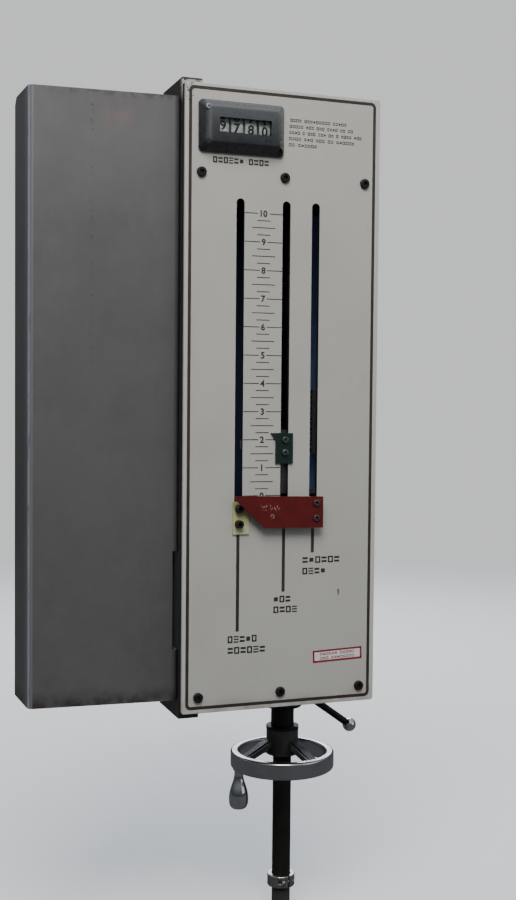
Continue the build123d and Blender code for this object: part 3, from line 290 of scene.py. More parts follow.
layColour(panelPaint, panelScuff, (0.10, 0.075, 0.055), 0.9)
# The walls of the three slots are darkened to near black: painted shade, with some dirt
for slotX in slotXs:
    slotSpan = (slotX - slotWall["reach"], slotX + slotWall["reach"])
    slotWallDirtAndShade = patch(panelPaint, (slotSpan, slotWall["heights"]), 0.05,
                     along(panelPaint, "Y", *slotWall["depths"]))
    layColour(panelPaint, slotWallDirtAndShade, (0.010, 0.010, 0.011))
layValue(panelPaint, "Roughness", cloud(panelPaint, 30, 0.3, 0.7), 0.55)
layBump(panelPaint, cloud(panelPaint, 1.1, 0.2, 0.8, detail=2), 0.03, 0.35)

barPlace = {"front": (-130, -136), "chips": (262, 281), "rust": (240, 286), "top": (284.0, 284.8)}
barSteel = newFinish("barSteel", (0.018, 0.017, 0.016), rough=0.50)
layColour(barSteel, cloud(barSteel, 26, 0.35, 0.7, stretch=(1, 1, 0.35)), (0.030, 0.028, 0.026))
layColour(barSteel, cloud(barSteel, 3.0, 0.66, 0.70), (0.22, 0.20, 0.17), 0.7)
# Bright bare steel at the top of the front edge: worn chips, and partly a painted highlight on that corner
barChipsAndHighlight = both(barSteel, along(barSteel, "Z", *barPlace["chips"]), cloud(barSteel, 4.5, 0.40, 0.47))
barFront = along(barSteel, "Y", *barPlace["front"])
layColour(barSteel, both(barSteel, barChipsAndHighlight, barFront), (0.46, 0.43, 0.37))
barRust = both(barSteel, along(barSteel, "Z", *barPlace["rust"]),
               cloud(barSteel, 7, 0.47, 0.60, shift=(0.3, 0, 0.1)))
layColour(barSteel, barRust, (0.060, 0.026, 0.016), 0.7)
layColour(barSteel, along(barSteel, "Z", *barPlace["top"]), (0.030, 0.015, 0.012), 0.9)
layValue(barSteel, "Roughness", barRust, 0.80)
layBump(barSteel, cloud(barSteel, 1.6, 0.2, 0.8), 0.12, 0.5)

shellPlace = {"inside": ((-89.5, 74), (-275, 275)), "insideDepths": (-2.0, -3.0),
              "side": ((82, 91), (-275, 275)), "sideDepths": (-6.5, -7.0)}
machineBlue = newFinish("machineBlue", (0.026, 0.078, 0.235), rough=0.38, coat=0.15)
layColour(machineBlue, cloud(machineBlue, 70, 0.35, 0.75), (0.018, 0.056, 0.180))
layColour(machineBlue, cloud(machineBlue, 3, 0.70, 0.76), (0.10, 0.09, 0.08), 0.7)
# Painted shade: the inside faces of the shell are darkened
shellInsideShade = patch(machineBlue, shellPlace["inside"], 0.5,
                    along(machineBlue, "Y", *shellPlace["insideDepths"]))
layColour(machineBlue, shellInsideShade, (0.030, 0.048, 0.088))
# Painted light: the inner face of the right wall is brightened to a light blue, as if lit
shellSideLight = patch(machineBlue, shellPlace["side"], 0.5, along(machineBlue, "Y", *shellPlace["sideDepths"]))
layColour(machineBlue, shellSideLight, (0.320, 0.460, 0.800))
layBump(machineBlue, cloud(machineBlue, 2.4, 0.2, 0.8, detail=3), 0.08, 0.35)

guardPlace = {"foot": (-252, -271), "top": (262, 270), "smudge": ((-170, -128), (222, 268)),
              "specks": ((-174.4, -171.2), (24, 258)), "bend": (-228.2, -222.6),
              "bendHighlightLine": (-227.3, -225.3)}
guardSteel = newFinish("guardSteel", (0.150, 0.148, 0.147), metal=0.45, rough=0.44)
layColour(guardSteel, cloud(guardSteel, 110, 0.30, 0.75), (0.122, 0.120, 0.119))
layColour(guardSteel, cloud(guardSteel, 9, 0.35, 0.8, stretch=(1, 1, 0.5)), (0.166, 0.163, 0.161), 0.35)
layColour(guardSteel, cloud(guardSteel, 40, 0.55, 0.85), (0.110, 0.107, 0.104), 0.4)
guardFoot = both(guardSteel, along(guardSteel, "Z", *guardPlace["foot"]), cloud(guardSteel, 12, 0.25, 0.62))
layColour(guardSteel, guardFoot, (0.045, 0.036, 0.029), 0.9)
guardTop = both(guardSteel, along(guardSteel, "Z", *guardPlace["top"]), cloud(guardSteel, 7, 0.42, 0.62))
layColour(guardSteel, guardTop, (0.070, 0.058, 0.048), 0.7)
guardSmudge = patch(guardSteel, guardPlace["smudge"], 14, cloud(guardSteel, 16, 0.36, 0.66))
layColour(guardSteel, guardSmudge, (0.215, 0.160, 0.142), 0.5)
guardSpecks = patch(guardSteel, guardPlace["specks"], 0.5, cloud(guardSteel, 2.6, 0.585, 0.625))
layColour(guardSteel, guardSpecks, (0.068, 0.026, 0.024), 0.8)
# Painted highlights along the bend of the guard: a broad lighter band and a narrow bright line
guardBendHighlight = both(guardSteel, inside(guardSteel, "X", *guardPlace["bend"], 1.2),
                 cloud(guardSteel, 5, 0.18, 0.42, stretch=(1, 1, 0.1)))
layColour(guardSteel, guardBendHighlight, (0.225, 0.230, 0.248), 0.9)
bendHighlightLine = both(guardSteel, inside(guardSteel, "X", *guardPlace["bendHighlightLine"], 0.6),
                cloud(guardSteel, 3, 0.30, 0.48, stretch=(1, 1, 0.15)))
layColour(guardSteel, bendHighlightLine, (0.46, 0.47, 0.50), 0.9)
layValue(guardSteel, "Roughness", cloud(guardSteel, 60, 0.3, 0.7), 0.50)
layBump(guardSteel, cloud(guardSteel, 0.9, 0.2, 0.8, detail=2, stretch=(1, 1, 0.3)), 0.02, 0.25)

blackSteel = newFinish("blackSteel", (0.016, 0.015, 0.015), metal=0.5, rough=0.40)
layColour(blackSteel, cloud(blackSteel, 3.5, 0.50, 0.75), (0.052, 0.044, 0.036))
layValue(blackSteel, "Roughness", cloud(blackSteel, 2.0, 0.3, 0.7), 0.60)
layBump(blackSteel, cloud(blackSteel, 0.8, 0.2, 0.8, detail=2), 0.03, 0.4)

turnedSteel = newFinish("turnedSteel", (0.30, 0.295, 0.288), metal=1.0, rough=0.30)
layColour(turnedSteel, cloud(turnedSteel, 1.2, 0.3, 0.8, stretch=(0.1, 0.1, 1)), (0.37, 0.365, 0.355))
layColour(turnedSteel, cloud(turnedSteel, 14, 0.55, 0.8), (0.14, 0.115, 0.09), 0.7)
layValue(turnedSteel, "Roughness", cloud(turnedSteel, 6, 0.3, 0.7), 0.42)
layBump(turnedSteel, cloud(turnedSteel, 0.5, 0.2, 0.8, detail=2, stretch=(0.1, 0.1, 1)), 0.02, 0.3)

greasySteel = newFinish("greasySteel", (0.058, 0.052, 0.044), metal=0.9, rough=0.34)
layColour(greasySteel, cloud(greasySteel, 9, 0.38, 0.70, stretch=(1, 1, 0.6)), (0.022, 0.017, 0.012))
layValue(greasySteel, "Roughness", cloud(greasySteel, 4, 0.3, 0.7), 0.22)
layBump(greasySteel, cloud(greasySteel, 1.0, 0.2, 0.8, detail=2), 0.03, 0.3)

brightEnd = (-478, -481)
shaftSteel = newFinish("shaftSteel", (0.026, 0.024, 0.021), metal=0.7, rough=0.44)
layColour(shaftSteel, cloud(shaftSteel, 16, 0.40, 0.75, stretch=(1, 1, 0.5)), (0.014, 0.011, 0.009))
layColour(shaftSteel, cloud(shaftSteel, 4, 0.62, 0.78), (0.046, 0.023, 0.014), 0.8)
layColour(shaftSteel, along(shaftSteel, "Z", *brightEnd), (0.110, 0.105, 0.100), 0.8)
layValue(shaftSteel, "Roughness", cloud(shaftSteel, 9, 0.3, 0.7), 0.60)
layBump(shaftSteel, cloud(shaftSteel, 1.2, 0.2, 0.8), 0.05, 0.4)

bronzeMetal = newFinish("bronzeMetal", (0.40, 0.235, 0.10), metal=1.0, rough=0.34)
layColour(bronzeMetal, cloud(bronzeMetal, 8, 0.4, 0.75), (0.22, 0.125, 0.055))
layBump(bronzeMetal, cloud(bronzeMetal, 0.6, 0.2, 0.8, detail=2, stretch=(0.1, 0.1, 1)), 0.02, 0.3)

wheelPlace = {"axis": (30.7, -76.0), "spokes": (40.5, 2.0), "hub": (17.5, 1.5)}
wheelAluminium = newFinish("wheelAluminium", (0.45, 0.452, 0.475), metal=1.0, rough=0.20)
layColour(wheelAluminium, cloud(wheelAluminium, 22, 0.45, 0.8), (0.26, 0.26, 0.265), 0.6)
layColour(wheelAluminium, cloud(wheelAluminium, 1.6, 0.70, 0.76), (0.12, 0.115, 0.11), 0.5)
layValue(wheelAluminium, "Roughness", cloud(wheelAluminium, 14, 0.3, 0.7), 0.27)
# Painted shade: the spokes and web inside the rim are darker than the rim
spokeShade = nearAxis(wheelAluminium, *wheelPlace["axis"], *wheelPlace["spokes"])
layColour(wheelAluminium, spokeShade, (0.15, 0.145, 0.14), 0.8)
# Painted shade: the hub is darker still, in patches; the hub is also rougher
hubShadeAndMatte = nearAxis(wheelAluminium, *wheelPlace["axis"], *wheelPlace["hub"])
layColour(wheelAluminium, both(wheelAluminium, hubShadeAndMatte, cloud(wheelAluminium, 9, 0.10, 0.50)),
          (0.105, 0.098, 0.090), 0.95)
layValue(wheelAluminium, "Roughness", hubShadeAndMatte, 0.50)
layBump(wheelAluminium, cloud(wheelAluminium, 1.0, 0.2, 0.8, detail=2), 0.015, 0.2)

millAluminium = newFinish("millAluminium", (0.075, 0.074, 0.072), metal=0.8, rough=0.42)
layColour(millAluminium, cloud(millAluminium, 12, 0.4, 0.8), (0.036, 0.033, 0.030), 0.8)
layBump(millAluminium, cloud(millAluminium, 0.5, 0.2, 0.8, detail=2, stretch=(1, 1, 0.1)), 0.02, 0.3)

chromePlate = newFinish("chromePlate", (0.56, 0.56, 0.565), metal=1.0, rough=0.09)
layColour(chromePlate, cloud(chromePlate, 5, 0.60, 0.80), (0.34, 0.31, 0.27), 0.7)
layValue(chromePlate, "Roughness", cloud(chromePlate, 4, 0.5, 0.8), 0.28)

counterPlace = {"rising": (226, 262), "worn": ((-82.5, -73), (225, 262)), "leftEnd": (-75.5, -78.5),
                "gleam": ((-77.5, -71.0), (224, 261)), "foot": (-150.2, -149.8), "leftScrew": (-60, -62)}
counterGrey = newFinish("counterGrey", (0.020, 0.022, 0.025), rough=0.24, coat=0.25)
# Painted light: the bezel grows lighter towards its top
layColour(counterGrey, along(counterGrey, "Z", *counterPlace["rising"]), (0.088, 0.092, 0.098))
layColour(counterGrey, cloud(counterGrey, 30, 0.40, 0.85), (0.050, 0.051, 0.052), 0.3)
counterWorn = patch(counterGrey, counterPlace["worn"], 4, cloud(counterGrey, 5, 0.42, 0.60))
layColour(counterGrey, counterWorn, (0.14, 0.135, 0.125), 0.4)
# Painted shade: the left end of the bezel is darkened
layColour(counterGrey, along(counterGrey, "X", *counterPlace["leftEnd"]), (0.014, 0.015, 0.016), 0.75)
layColour(counterGrey, boxed(counterGrey, *counterPlace["gleam"], 2.8), (0.20, 0.205, 0.21), 0.22)
# Painted shade: a dark line round the foot of the bezel, where it meets the panel
layColour(counterGrey, along(counterGrey, "Y", *counterPlace["foot"]), (0.007, 0.010, 0.020))
layValue(counterGrey, "Roughness", cloud(counterGrey, 8, 0.3, 0.7), 0.36)
layBump(counterGrey, cloud(counterGrey, 0.8, 0.2, 0.8, detail=2), 0.01, 0.25)

counterScrew = newFinish("counterScrew", (0.016, 0.015, 0.015), metal=0.5, rough=0.40)
layColour(counterScrew, cloud(counterScrew, 2.5, 0.50, 0.75), (0.045, 0.040, 0.036))
layColour(counterScrew, along(counterScrew, "X", *counterPlace["leftScrew"]), (0.30, 0.31, 0.32))
layBump(counterScrew, cloud(counterScrew, 0.8, 0.2, 0.8, detail=2), 0.03, 0.4)

caseGrey = newFinish("caseGrey", (0.060, 0.066, 0.072), rough=0.5)
layColour(caseGrey, cloud(caseGrey, 20, 0.35, 0.75), (0.085, 0.090, 0.095))
layBump(caseGrey, cloud(caseGrey, 1.0, 0.2, 0.8, detail=2), 0.05, 0.4)

windowGlass = newFinish("windowGlass", (0.92, 0.95, 0.94), rough=0.06)
windowGlass.node_tree.nodes["Principled BSDF"].inputs["Transmission Weight"].default_value = 1.0
windowGlass.node_tree.nodes["Principled BSDF"].inputs["IOR"].default_value = 1.45
layValue(windowGlass, "Roughness", cloud(windowGlass, 6, 0.55, 0.8), 0.14)

tileWhite = newFinish("tileWhite", (0.88, 0.88, 0.85), rough=0.4)
layColour(tileWhite, cloud(tileWhite, 5, 0.5, 0.8), (0.66, 0.65, 0.62), 0.6)
# Painted shade: dark strips on the number wheels at their sides, where they meet
wheelGapShade = {"xs": (-67.3, -54.3, -41.3, -28.3, -15.3), "reach": 1.1, "soft": 0.25}
for gapX in wheelGapShade["xs"]:
    gapShade = inside(tileWhite, "X", gapX - wheelGapShade["reach"], gapX + wheelGapShade["reach"], wheelGapShade["soft"])
    layColour(tileWhite, gapShade, (0.012, 0.012, 0.012))

digitBlack = newFinish("digitBlack", (0.020, 0.022, 0.024), rough=0.5)
layColour(digitBlack, cloud(digitBlack, 1.4, 0.6, 0.8), (0.07, 0.07, 0.07), 0.6)

printBrown = newFinish("printBrown", (0.032, 0.021, 0.018), rough=0.5)
layColour(printBrown, cloud(printBrown, 12, 0.4, 0.8), (0.056, 0.038, 0.031), 0.7)
layColour(printBrown, cloud(printBrown, 0.9, 0.70, 0.75, detail=2), (0.30, 0.28, 0.24), 0.5)

printBlack = newFinish("printBlack", (0.026, 0.024, 0.023), rough=0.5)
layColour(printBlack, cloud(printBlack, 2.5, 0.5, 0.8), (0.070, 0.064, 0.058), 0.7)


# Paint in two shades, chipped down to the colour under it
def chippedPaint(name, colour, darker, under, amount):
    material = newFinish(name, colour, rough=0.46)
    material.node_tree.nodes["Principled BSDF"].inputs["Specular IOR Level"].default_value = 0.35
    layColour(material, cloud(material, 12, 0.35, 0.75), darker)
    chips = cloud(material, 2.6, amount, amount + 0.02, detail=8, rough=0.7)
    layColour(material, chips, under)
    layBump(material, cloud(material, 1.4, 0.2, 0.8, detail=3), 0.08, 0.4)
    return material


flagPlace = {"scratches": (((-24, -4), (-99, -91)), ((-15, -9), (-106, -100))), "scratchLows": (0.565, 0.53),
             "rub": ((8, 40), (-92, -83)), "tipShade": ((-50, -36), (-104, -84))}
flagRed = chippedPaint("flagRed", (0.112, 0.0070, 0.0066), (0.080, 0.0052, 0.0050), (0.20, 0.12, 0.10), 0.70)
for spot, low in zip(flagPlace["scratches"], flagPlace["scratchLows"]):
    flagScratch = patch(flagRed, spot, 2.5, cloud(flagRed, 1.7, low, low + 0.02, detail=8))
    layColour(flagRed, flagScratch, (0.42, 0.31, 0.27), 0.85)
flagRub = patch(flagRed, flagPlace["rub"], 3, cloud(flagRed, 3.5, 0.56, 0.62))
layColour(flagRed, flagRub, (0.15, 0.045, 0.022), 0.7)
# Painted shade: the left tip of the flag is darkened
flagTipShade = patch(flagRed, flagPlace["tipShade"], 4, cloud(flagRed, 5, 0.40, 0.60))
layColour(flagRed, flagTipShade, (0.035, 0.010, 0.009), 0.8)
pointerGreen = chippedPaint("pointerGreen", (0.008, 0.024, 0.018), (0.006, 0.016, 0.012),
                            (0.15, 0.16, 0.155), 0.70)
pointerYellow = chippedPaint("pointerYellow", (0.500, 0.490, 0.240), (0.430, 0.415, 0.180),
                             (0.17, 0.14, 0.10), 0.70)
fadedFoot = (-106, -114)
pointerFaded = both(pointerYellow, along(pointerYellow, "Z", *fadedFoot), cloud(pointerYellow, 8, 0.30, 0.62))
layColour(pointerYellow, pointerFaded, (0.56, 0.55, 0.36), 0.8)

wornGreen = newFinish("wornGreen", (0.10, 0.125, 0.118), metal=0.6, rough=0.36)
layColour(wornGreen, cloud(wornGreen, 2.5, 0.42, 0.62), (0.012, 0.030, 0.023), 0.8)
layBump(wornGreen, cloud(wornGreen, 0.8, 0.2, 0.8, detail=2), 0.03, 0.4)
wornRed = newFinish("wornRed", (0.095, 0.085, 0.098), metal=0.6, rough=0.36)
layColour(wornRed, cloud(wornRed, 2.5, 0.45, 0.62), (0.105, 0.010, 0.009), 0.8)
layBump(wornRed, cloud(wornRed, 0.8, 0.2, 0.8, detail=2), 0.03, 0.4)

switchBlack = newFinish("switchBlack", (0.020, 0.020, 0.022), rough=0.45)
layColour(switchBlack, cloud(switchBlack, 10, 0.4, 0.8), (0.036, 0.035, 0.034))
layBump(switchBlack, cloud(switchBlack, 0.7, 0.2, 0.8, detail=2), 0.03, 0.4)

rollerNylon = newFinish("rollerNylon", (0.55, 0.54, 0.48), rough=0.45)
layColour(rollerNylon, cloud(rollerNylon, 4, 0.45, 0.8), (0.30, 0.28, 0.24), 0.6)

gasketRubber = newFinish("gasketRubber", (0.012, 0.012, 0.012), rough=0.8)
layColour(gasketRubber, cloud(gasketRubber, 12, 0.4, 0.8), (0.026, 0.024, 0.022))
layBump(gasketRubber, cloud(gasketRubber, 0.9, 0.2, 0.8, detail=2), 0.05, 0.4)

labelWhite = newFinish("labelWhite", (0.78, 0.77, 0.75), rough=0.45)
layColour(labelWhite, cloud(labelWhite, 9, 0.45, 0.8), (0.60, 0.56, 0.53), 0.6)
labelRed = newFinish("labelRed", (0.270, 0.010, 0.020), rough=0.45)
layColour(labelRed, cloud(labelRed, 5, 0.45, 0.8), (0.290, 0.045, 0.052))

nodeFinish = {
    panelPaint: ["face_panel"],
    gasketRubber: ["panel_gasket"],
    barSteel: ["left_side_bar", "upper_cross_bar", "lower_cross_bar"],
    machineBlue: ["mounting_shell"],
    blackSteel: ["panel_screws", "side_bar_screws", "shell_screws", "guard_screws", "drive_collar",
                 "screw_stop_collar", "lock_nut", "speed_change_screws"],
    guardSteel: ["side_guard"],
    bronzeMetal: ["upper_bush", "lower_bush", "bottom_stop_nut"],
    turnedSteel: ["counter_axle", "counter_shaft", "counter_mitre_gear", "screw_mitre_gear", "split_collar",
                  "split_collar_screw", "bottom_stop_switch_lever", "top_stop_switch_lever",
                  "speed_change_switch_lever"],
    greasySteel: ["guide_rod", "lead_screw"],
    counterScrew: ["bezel_screws"],
    wornGreen: ["top_stop_screws"],
    wornRed: ["bottom_stop_screws"],
    shaftSteel: ["lower_shaft", "lock_lever_rod"],
    wheelAluminium: ["handwheel"],
    millAluminium: ["bottom_stop_carriage", "top_stop_carrier", "speed_change_carrier"],
    chromePlate: ["crank_pin", "crank_grip", "lock_lever_ball"],
    counterGrey: ["counter_bezel"],
    caseGrey: ["counter_case", "counter_gearbox"],
    windowGlass: ["counter_window"],
    tileWhite: ["number_wheel_thousands", "number_wheel_hundreds", "number_wheel_tens", "number_wheel_units"],
    pointerGreen: ["top_stop_pointer"],
    pointerYellow: ["speed_change_pointer"],
    flagRed: ["bottom_stop_flag"],
    switchBlack: ["terminal_strip", "bottom_stop_switch", "top_stop_switch", "speed_change_switch"],
    rollerNylon: ["bottom_stop_switch_roller", "top_stop_switch_roller", "speed_change_switch_roller"],
}
for material, names in nodeFinish.items():
    for name in names:
        nodes[name].data.materials.clear()
        nodes[name].data.materials.append(material)
print("stage: finishes on", sum(len(names) for names in nodeFinish.values()), "nodes")


# What the pieces below share

weld = 0.001


# Points and faces in the order of their places, since some bmesh operators leave them in any order
def sortByPlace(bm):
    for items, middle in ((bm.verts, lambda v: v.co), (bm.faces, lambda f: f.calc_center_median())):
        ranked = sorted(items, key=lambda item: [round(c, 4) for c in middle(item)])
        for index, item in enumerate(ranked):
            item.index = index
        items.sort()


# A piece drawn in millimetres becomes an object in metres
def finishPiece(name, bm, material, body):
    bmesh.ops.remove_doubles(bm, verts=bm.verts, dist=weld)
    bmesh.ops.recalc_face_normals(bm, faces=bm.faces)
    sortByPlace(bm)
    bmesh.ops.scale(bm, vec=(mm, mm, mm), verts=bm.verts)
    mesh = bpy.data.meshes.new(name)
    bm.to_mesh(mesh)
    bm.free()
    mesh.materials.append(material)
    piece = bpy.data.objects.new(name, mesh)
    bpy.context.scene.collection.objects.link(piece)
    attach(piece, body)
    return piece


# Puts one bmesh into another, at a place
def addTo(bm, other, where=Matrix()):
    spare = bpy.data.meshes.new("spare")
    other.to_mesh(spare)
    other.free()
    spare.transform(where)
    bm.from_mesh(spare)
    bpy.data.meshes.remove(spare)


# A thin printed bar whose back is at y
def addBar(bm, x, z, width, height, y, thick):
    where = Matrix.Translation((x, y - thick / 2, z))
    bmesh.ops.create_cube(bm, size=1, matrix=where @ Matrix.Diagonal((width, thick, height, 1)))


# A thin rounded plate or ring whose back is at y
def addRounded(bm, x, z, width, height, corner, y, thick, ring=0.0, turn=0.0, segments=6):
    made = bmesh.ops.create_grid(bm, x_segments=1, y_segments=1, size=0.5)
    bmesh.ops.scale(bm, vec=(width, height, 1), verts=made["verts"])
    cut = bmesh.ops.bevel(bm, geom=made["verts"], offset=corner, segments=segments, profile=0.5,
                          affect="VERTICES", material=-1)
    face = max({f for v in cut["verts"] for f in v.link_faces}, key=lambda f: f.calc_area())
    faces = [face]
    if ring:
        faces = bmesh.ops.inset_region(bm, faces=[face], thickness=ring, use_boundary=True,
                                       use_even_offset=True)["faces"]
        bmesh.ops.delete(bm, geom=[face], context="FACES")
    walls = bmesh.ops.extrude_face_region(bm, geom=faces, use_keep_orig=True)["geom"]
    lifted = [v for v in walls if isinstance(v, bmesh.types.BMVert)]
    bmesh.ops.translate(bm, vec=(0, 0, thick), verts=lifted)
    every = {v for f in faces for v in f.verts} | set(lifted)
    where = (Matrix.Translation((x, y, z)) @ Matrix.Rotation(radians(turn), 4, "Y")
             @ Matrix.Rotation(radians(90), 4, "X"))
    bmesh.ops.transform(bm, matrix=where, verts=list(every))


# Flat figures in X and Y, centred, with this cap height
def digitMesh(text, height, thick, bold):
    curve = bpy.data.curves.new("figure" + text, "FONT")
    curve.body = text
    curve.align_x = "CENTER"
    curve.extrude = 0.5
    curve.offset = bold
    curve.resolution_u = 4
    holder = bpy.data.objects.new("figure" + text, curve)
    bpy.context.scene.collection.objects.link(holder)
    bpy.context.view_layer.update()
    mesh = bpy.data.meshes.new_from_object(holder.evaluated_get(bpy.context.evaluated_depsgraph_get()))
    bpy.data.objects.remove(holder)
    bpy.data.curves.remove(curve)
    xs = [v.co.x for v in mesh.vertices]
    ys = [v.co.y for v in mesh.vertices]
    grow = height / (max(ys) - min(ys))
    mesh.transform(Matrix.Translation((-(max(xs) + min(xs)) / 2, -(max(ys) + min(ys)) / 2, 0)))
    mesh.transform(Matrix.Diagonal((grow, grow, thick, 1)))
    return mesh


# Print on the panel

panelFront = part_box("face_panel")[0].y / mm
panelMark = {"thick": 0.06, "sink": 0.02}
printY = panelFront + panelMark["sink"]
printThick = panelMark["thick"] + panelMark["sink"]

border = {"x": -0.4, "z": 0.35, "width": 180.4, "height": 553.5, "corner": 5.0, "line": 2.9}
bm = bmesh.new()
addRounded(bm, border["x"], border["z"], border["width"], border["height"], border["corner"], printY,
           printThick, ring=border["line"])
finishPiece("panelBorder", bm, printBrown, "housing")

rules = {"width": 3.0, "top": -116.0, "bottoms": (-207.9, -173.5, -138.4)}
bm = bmesh.new()
for x, bottom in zip(slotXs, rules["bottoms"]):
    addBar(bm, x, (rules["top"] + bottom) / 2, rules["width"], rules["top"] - bottom, printY, printThick)
finishPiece("slotRules", bm, printBrown, "housing")

scale = {"x": -19.8, "zeroZ": -85.0, "step": 25.4, "last": 10, "leftEdge": -38.0, "rightEdge": -1.9,
         "line": 0.8, "figure": 6.1, "bold": 0.036, "gap": 1.4, "halfOfOne": 2.0, "halfOfTwo": 4.4,
         "quarterTicks": (12.6, 22.0, 12.6)}
bm = bmesh.new()
for k in range(scale["last"] + 1):
    z = scale["zeroZ"] + k * scale["step"]
    clear = scale["gap"] + (scale["halfOfOne"] if k < 10 else scale["halfOfTwo"])
    for a, b in ((scale["leftEdge"], scale["x"] - clear), (scale["x"] + clear, scale["rightEdge"])):
        addBar(bm, (a + b) / 2, z, b - a, scale["line"], printY, printThick)
    if k < scale["last"]:
        for quarter, width in enumerate(scale["quarterTicks"], 1):
            addBar(bm, scale["x"], z + quarter * scale["step"] / 4, width, scale["line"], printY, printThick)
finishPiece("scaleLines", bm, printBlack, "housing")

bm = bmesh.new()
for k in range(scale["last"] + 1):
    figure = digitMesh(str(k), scale["figure"], printThick, scale["bold"])
    where = Matrix.Translation((scale["x"], printY - printThick / 2, scale["zeroZ"] + k * scale["step"]))
    figure.transform(where @ Matrix.Rotation(radians(90), 4, "X"))
    bm.from_mesh(figure)
    bpy.data.meshes.remove(figure)
finishPiece("scaleFigures", bm, printBlack, "housing")
print("stage: border, rules and scale")

# Blocks of print become rows of plain small shapes
rowKinds = {"counter": {"height": 5.6, "line": 1.35}, "speed": {"height": 6.4, "line": 1.4},
            "stop": {"height": 6.2, "line": 1.4}, "note": {"height": 2.9, "line": 0.68},
            "sticker": {"height": 2.4, "line": 0.5}}

# Kind, left, right, height on the panel, and how many shapes are in each run
rows = (
    ("counter", -68.2, -14.8, 213.9, (6, 4)),
    ("speed", -51.1, -22.2, -214.9, (5,)),
    ("speed", -51.0, -14.0, -225.0, (6,)),
    ("stop", -7.3, 10.5, -180.3, (3,)),
    ("stop", -7.2, 17.1, -189.9, (4,)),
    ("stop", 20.9, 59.1, -145.2, (6,)),
    ("stop", 21.0, 45.1, -155.5, (4,)),
    ("note", 4.8, 60.5, 254.3, (4, 9, 5)),
    ("note", 4.2, 67.0, 248.8, (5, 3, 3, 4, 2, 2)),
    ("note", 3.8, 75.9, 243.3, (4, 1, 3, 3, 2, 1, 4, 3)),
    ("note", 3.6, 68.5, 237.8, (4, 3, 3, 2, 6)),
    ("note", 3.6, 31.5, 232.3, (2, 6)),
)
shapes = {"order": ("box", "pair", "box", "triple", "pair", "block", "box", "pair"), "fill": 0.82,
          "space": 0.8, "corner": 0.4, "block": (0.8, 0.62), "pair": ((-1, 1), 0.27, 0.3),
          "triple": ((-1, 0, 1), 0.38, 0.2)}


# Small boxes, sets of bars and solid blocks side by side, in runs as long as the row's
def addShapes(bm, row, y, thick, step=0):
    kind, left, right, z, runs = row
    height, line = rowKinds[kind]["height"], rowKinds[kind]["line"]
    pitch = (right - left) / (sum(runs) + shapes["space"] * (len(runs) - 1))
    width = pitch * shapes["fill"]
    x = left + width / 2
    for run in runs:
        for _ in range(run):
            shape = shapes["order"][step % len(shapes["order"])]
            if shape == "box":
                addRounded(bm, x, z, width, height, line * shapes["corner"], y, thick, ring=line, segments=2)
            elif shape == "block":
                wide, tall = shapes["block"]
                addBar(bm, x, z, width * wide, height * tall, y, thick)
            else:
                sides, reach, bar = shapes[shape]
                for side in sides:
                    addBar(bm, x, z + side * height * reach, width, height * bar, y, thick)
            step += 1
            x += pitch
        x += shapes["space"] * pitch
    return step


bm = bmesh.new()
step = 0
for row in rows:
    step = addShapes(bm, row, printY, printThick, step)
finishPiece("printedRows", bm, printBlack, "housing")

sticker = {"outline": (57.0, -235.0, 49.6, 11.5, 0.8), "turn": -1.9, "back": 0.02, "thick": 0.15, "edge": 1.8,
           "inkBack": 0.04, "ink": 0.08,
           "rows": (("sticker", -17.5, 17.5, 1.9, (6, 5)), ("sticker", -17.5, 17.5, -2.1, (3, 8)))}
bm = bmesh.new()
addRounded(bm, *sticker["outline"], panelFront + sticker["back"], sticker["thick"], turn=sticker["turn"])
finishPiece("stickerSheet", bm, labelWhite, "housing")
stickerFront = panelFront - sticker["thick"] + sticker["inkBack"]
stickerX, stickerZ = sticker["outline"][:2]
bm = bmesh.new()
addRounded(bm, *sticker["outline"], stickerFront, sticker["ink"], ring=sticker["edge"], turn=sticker["turn"])
for row in sticker["rows"]:
    lines = bmesh.new()
    addShapes(lines, row, 0, sticker["ink"])
    addTo(bm, lines, Matrix.Translation((stickerX, stickerFront, stickerZ))
          @ Matrix.Rotation(radians(sticker["turn"]), 4, "Y"))
finishPiece("stickerPrint", bm, labelRed, "housing")
print("stage: rows of print and sticker")


# Figures round the number wheels

figures = {"height": 8.6, "thick": 0.16, "cuts": 7, "radius": 16.0, "bold": 0.03, "apart": 36}

# The figure that each wheel shows, and by how many degrees it stands above the middle of the window
reading = {"thousands": (9, 1.0), "hundreds": (7, -4.5), "tens": (8, -6.0), "units": (0, -7.5)}
for wheelName, (shown, drift) in reading.items():
    low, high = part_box("number_wheel_" + wheelName)
    middle = (low + high) / 2 / mm
    bm = bmesh.new()
    for k in range(10):
        figure = digitMesh(str(k), figures["height"], figures["thick"], figures["bold"])
        piece = bmesh.new()
        piece.from_mesh(figure)
        bpy.data.meshes.remove(figure)
        for cut in range(1, figures["cuts"]):
            level = figures["height"] * (cut / figures["cuts"] - 0.5)
            bmesh.ops.bisect_plane(piece, geom=piece.verts[:] + piece.edges[:] + piece.faces[:],
                                   plane_co=(0, level, 0), plane_no=(0, 1, 0))
        rise = radians((k - shown) % 10 * figures["apart"] + drift)
        for vert in piece.verts:
            angle = rise + vert.co.y / figures["radius"]
            out = figures["radius"] + vert.co.z
            vert.co = (middle.x + vert.co.x, middle.y - out * cos(angle), middle.z + out * sin(angle))
        addTo(bm, piece)
    finishPiece("figures_" + wheelName, bm, digitBlack, wheelName + "_wheel")
print("stage: counter figures")


# Thread of the lead screw

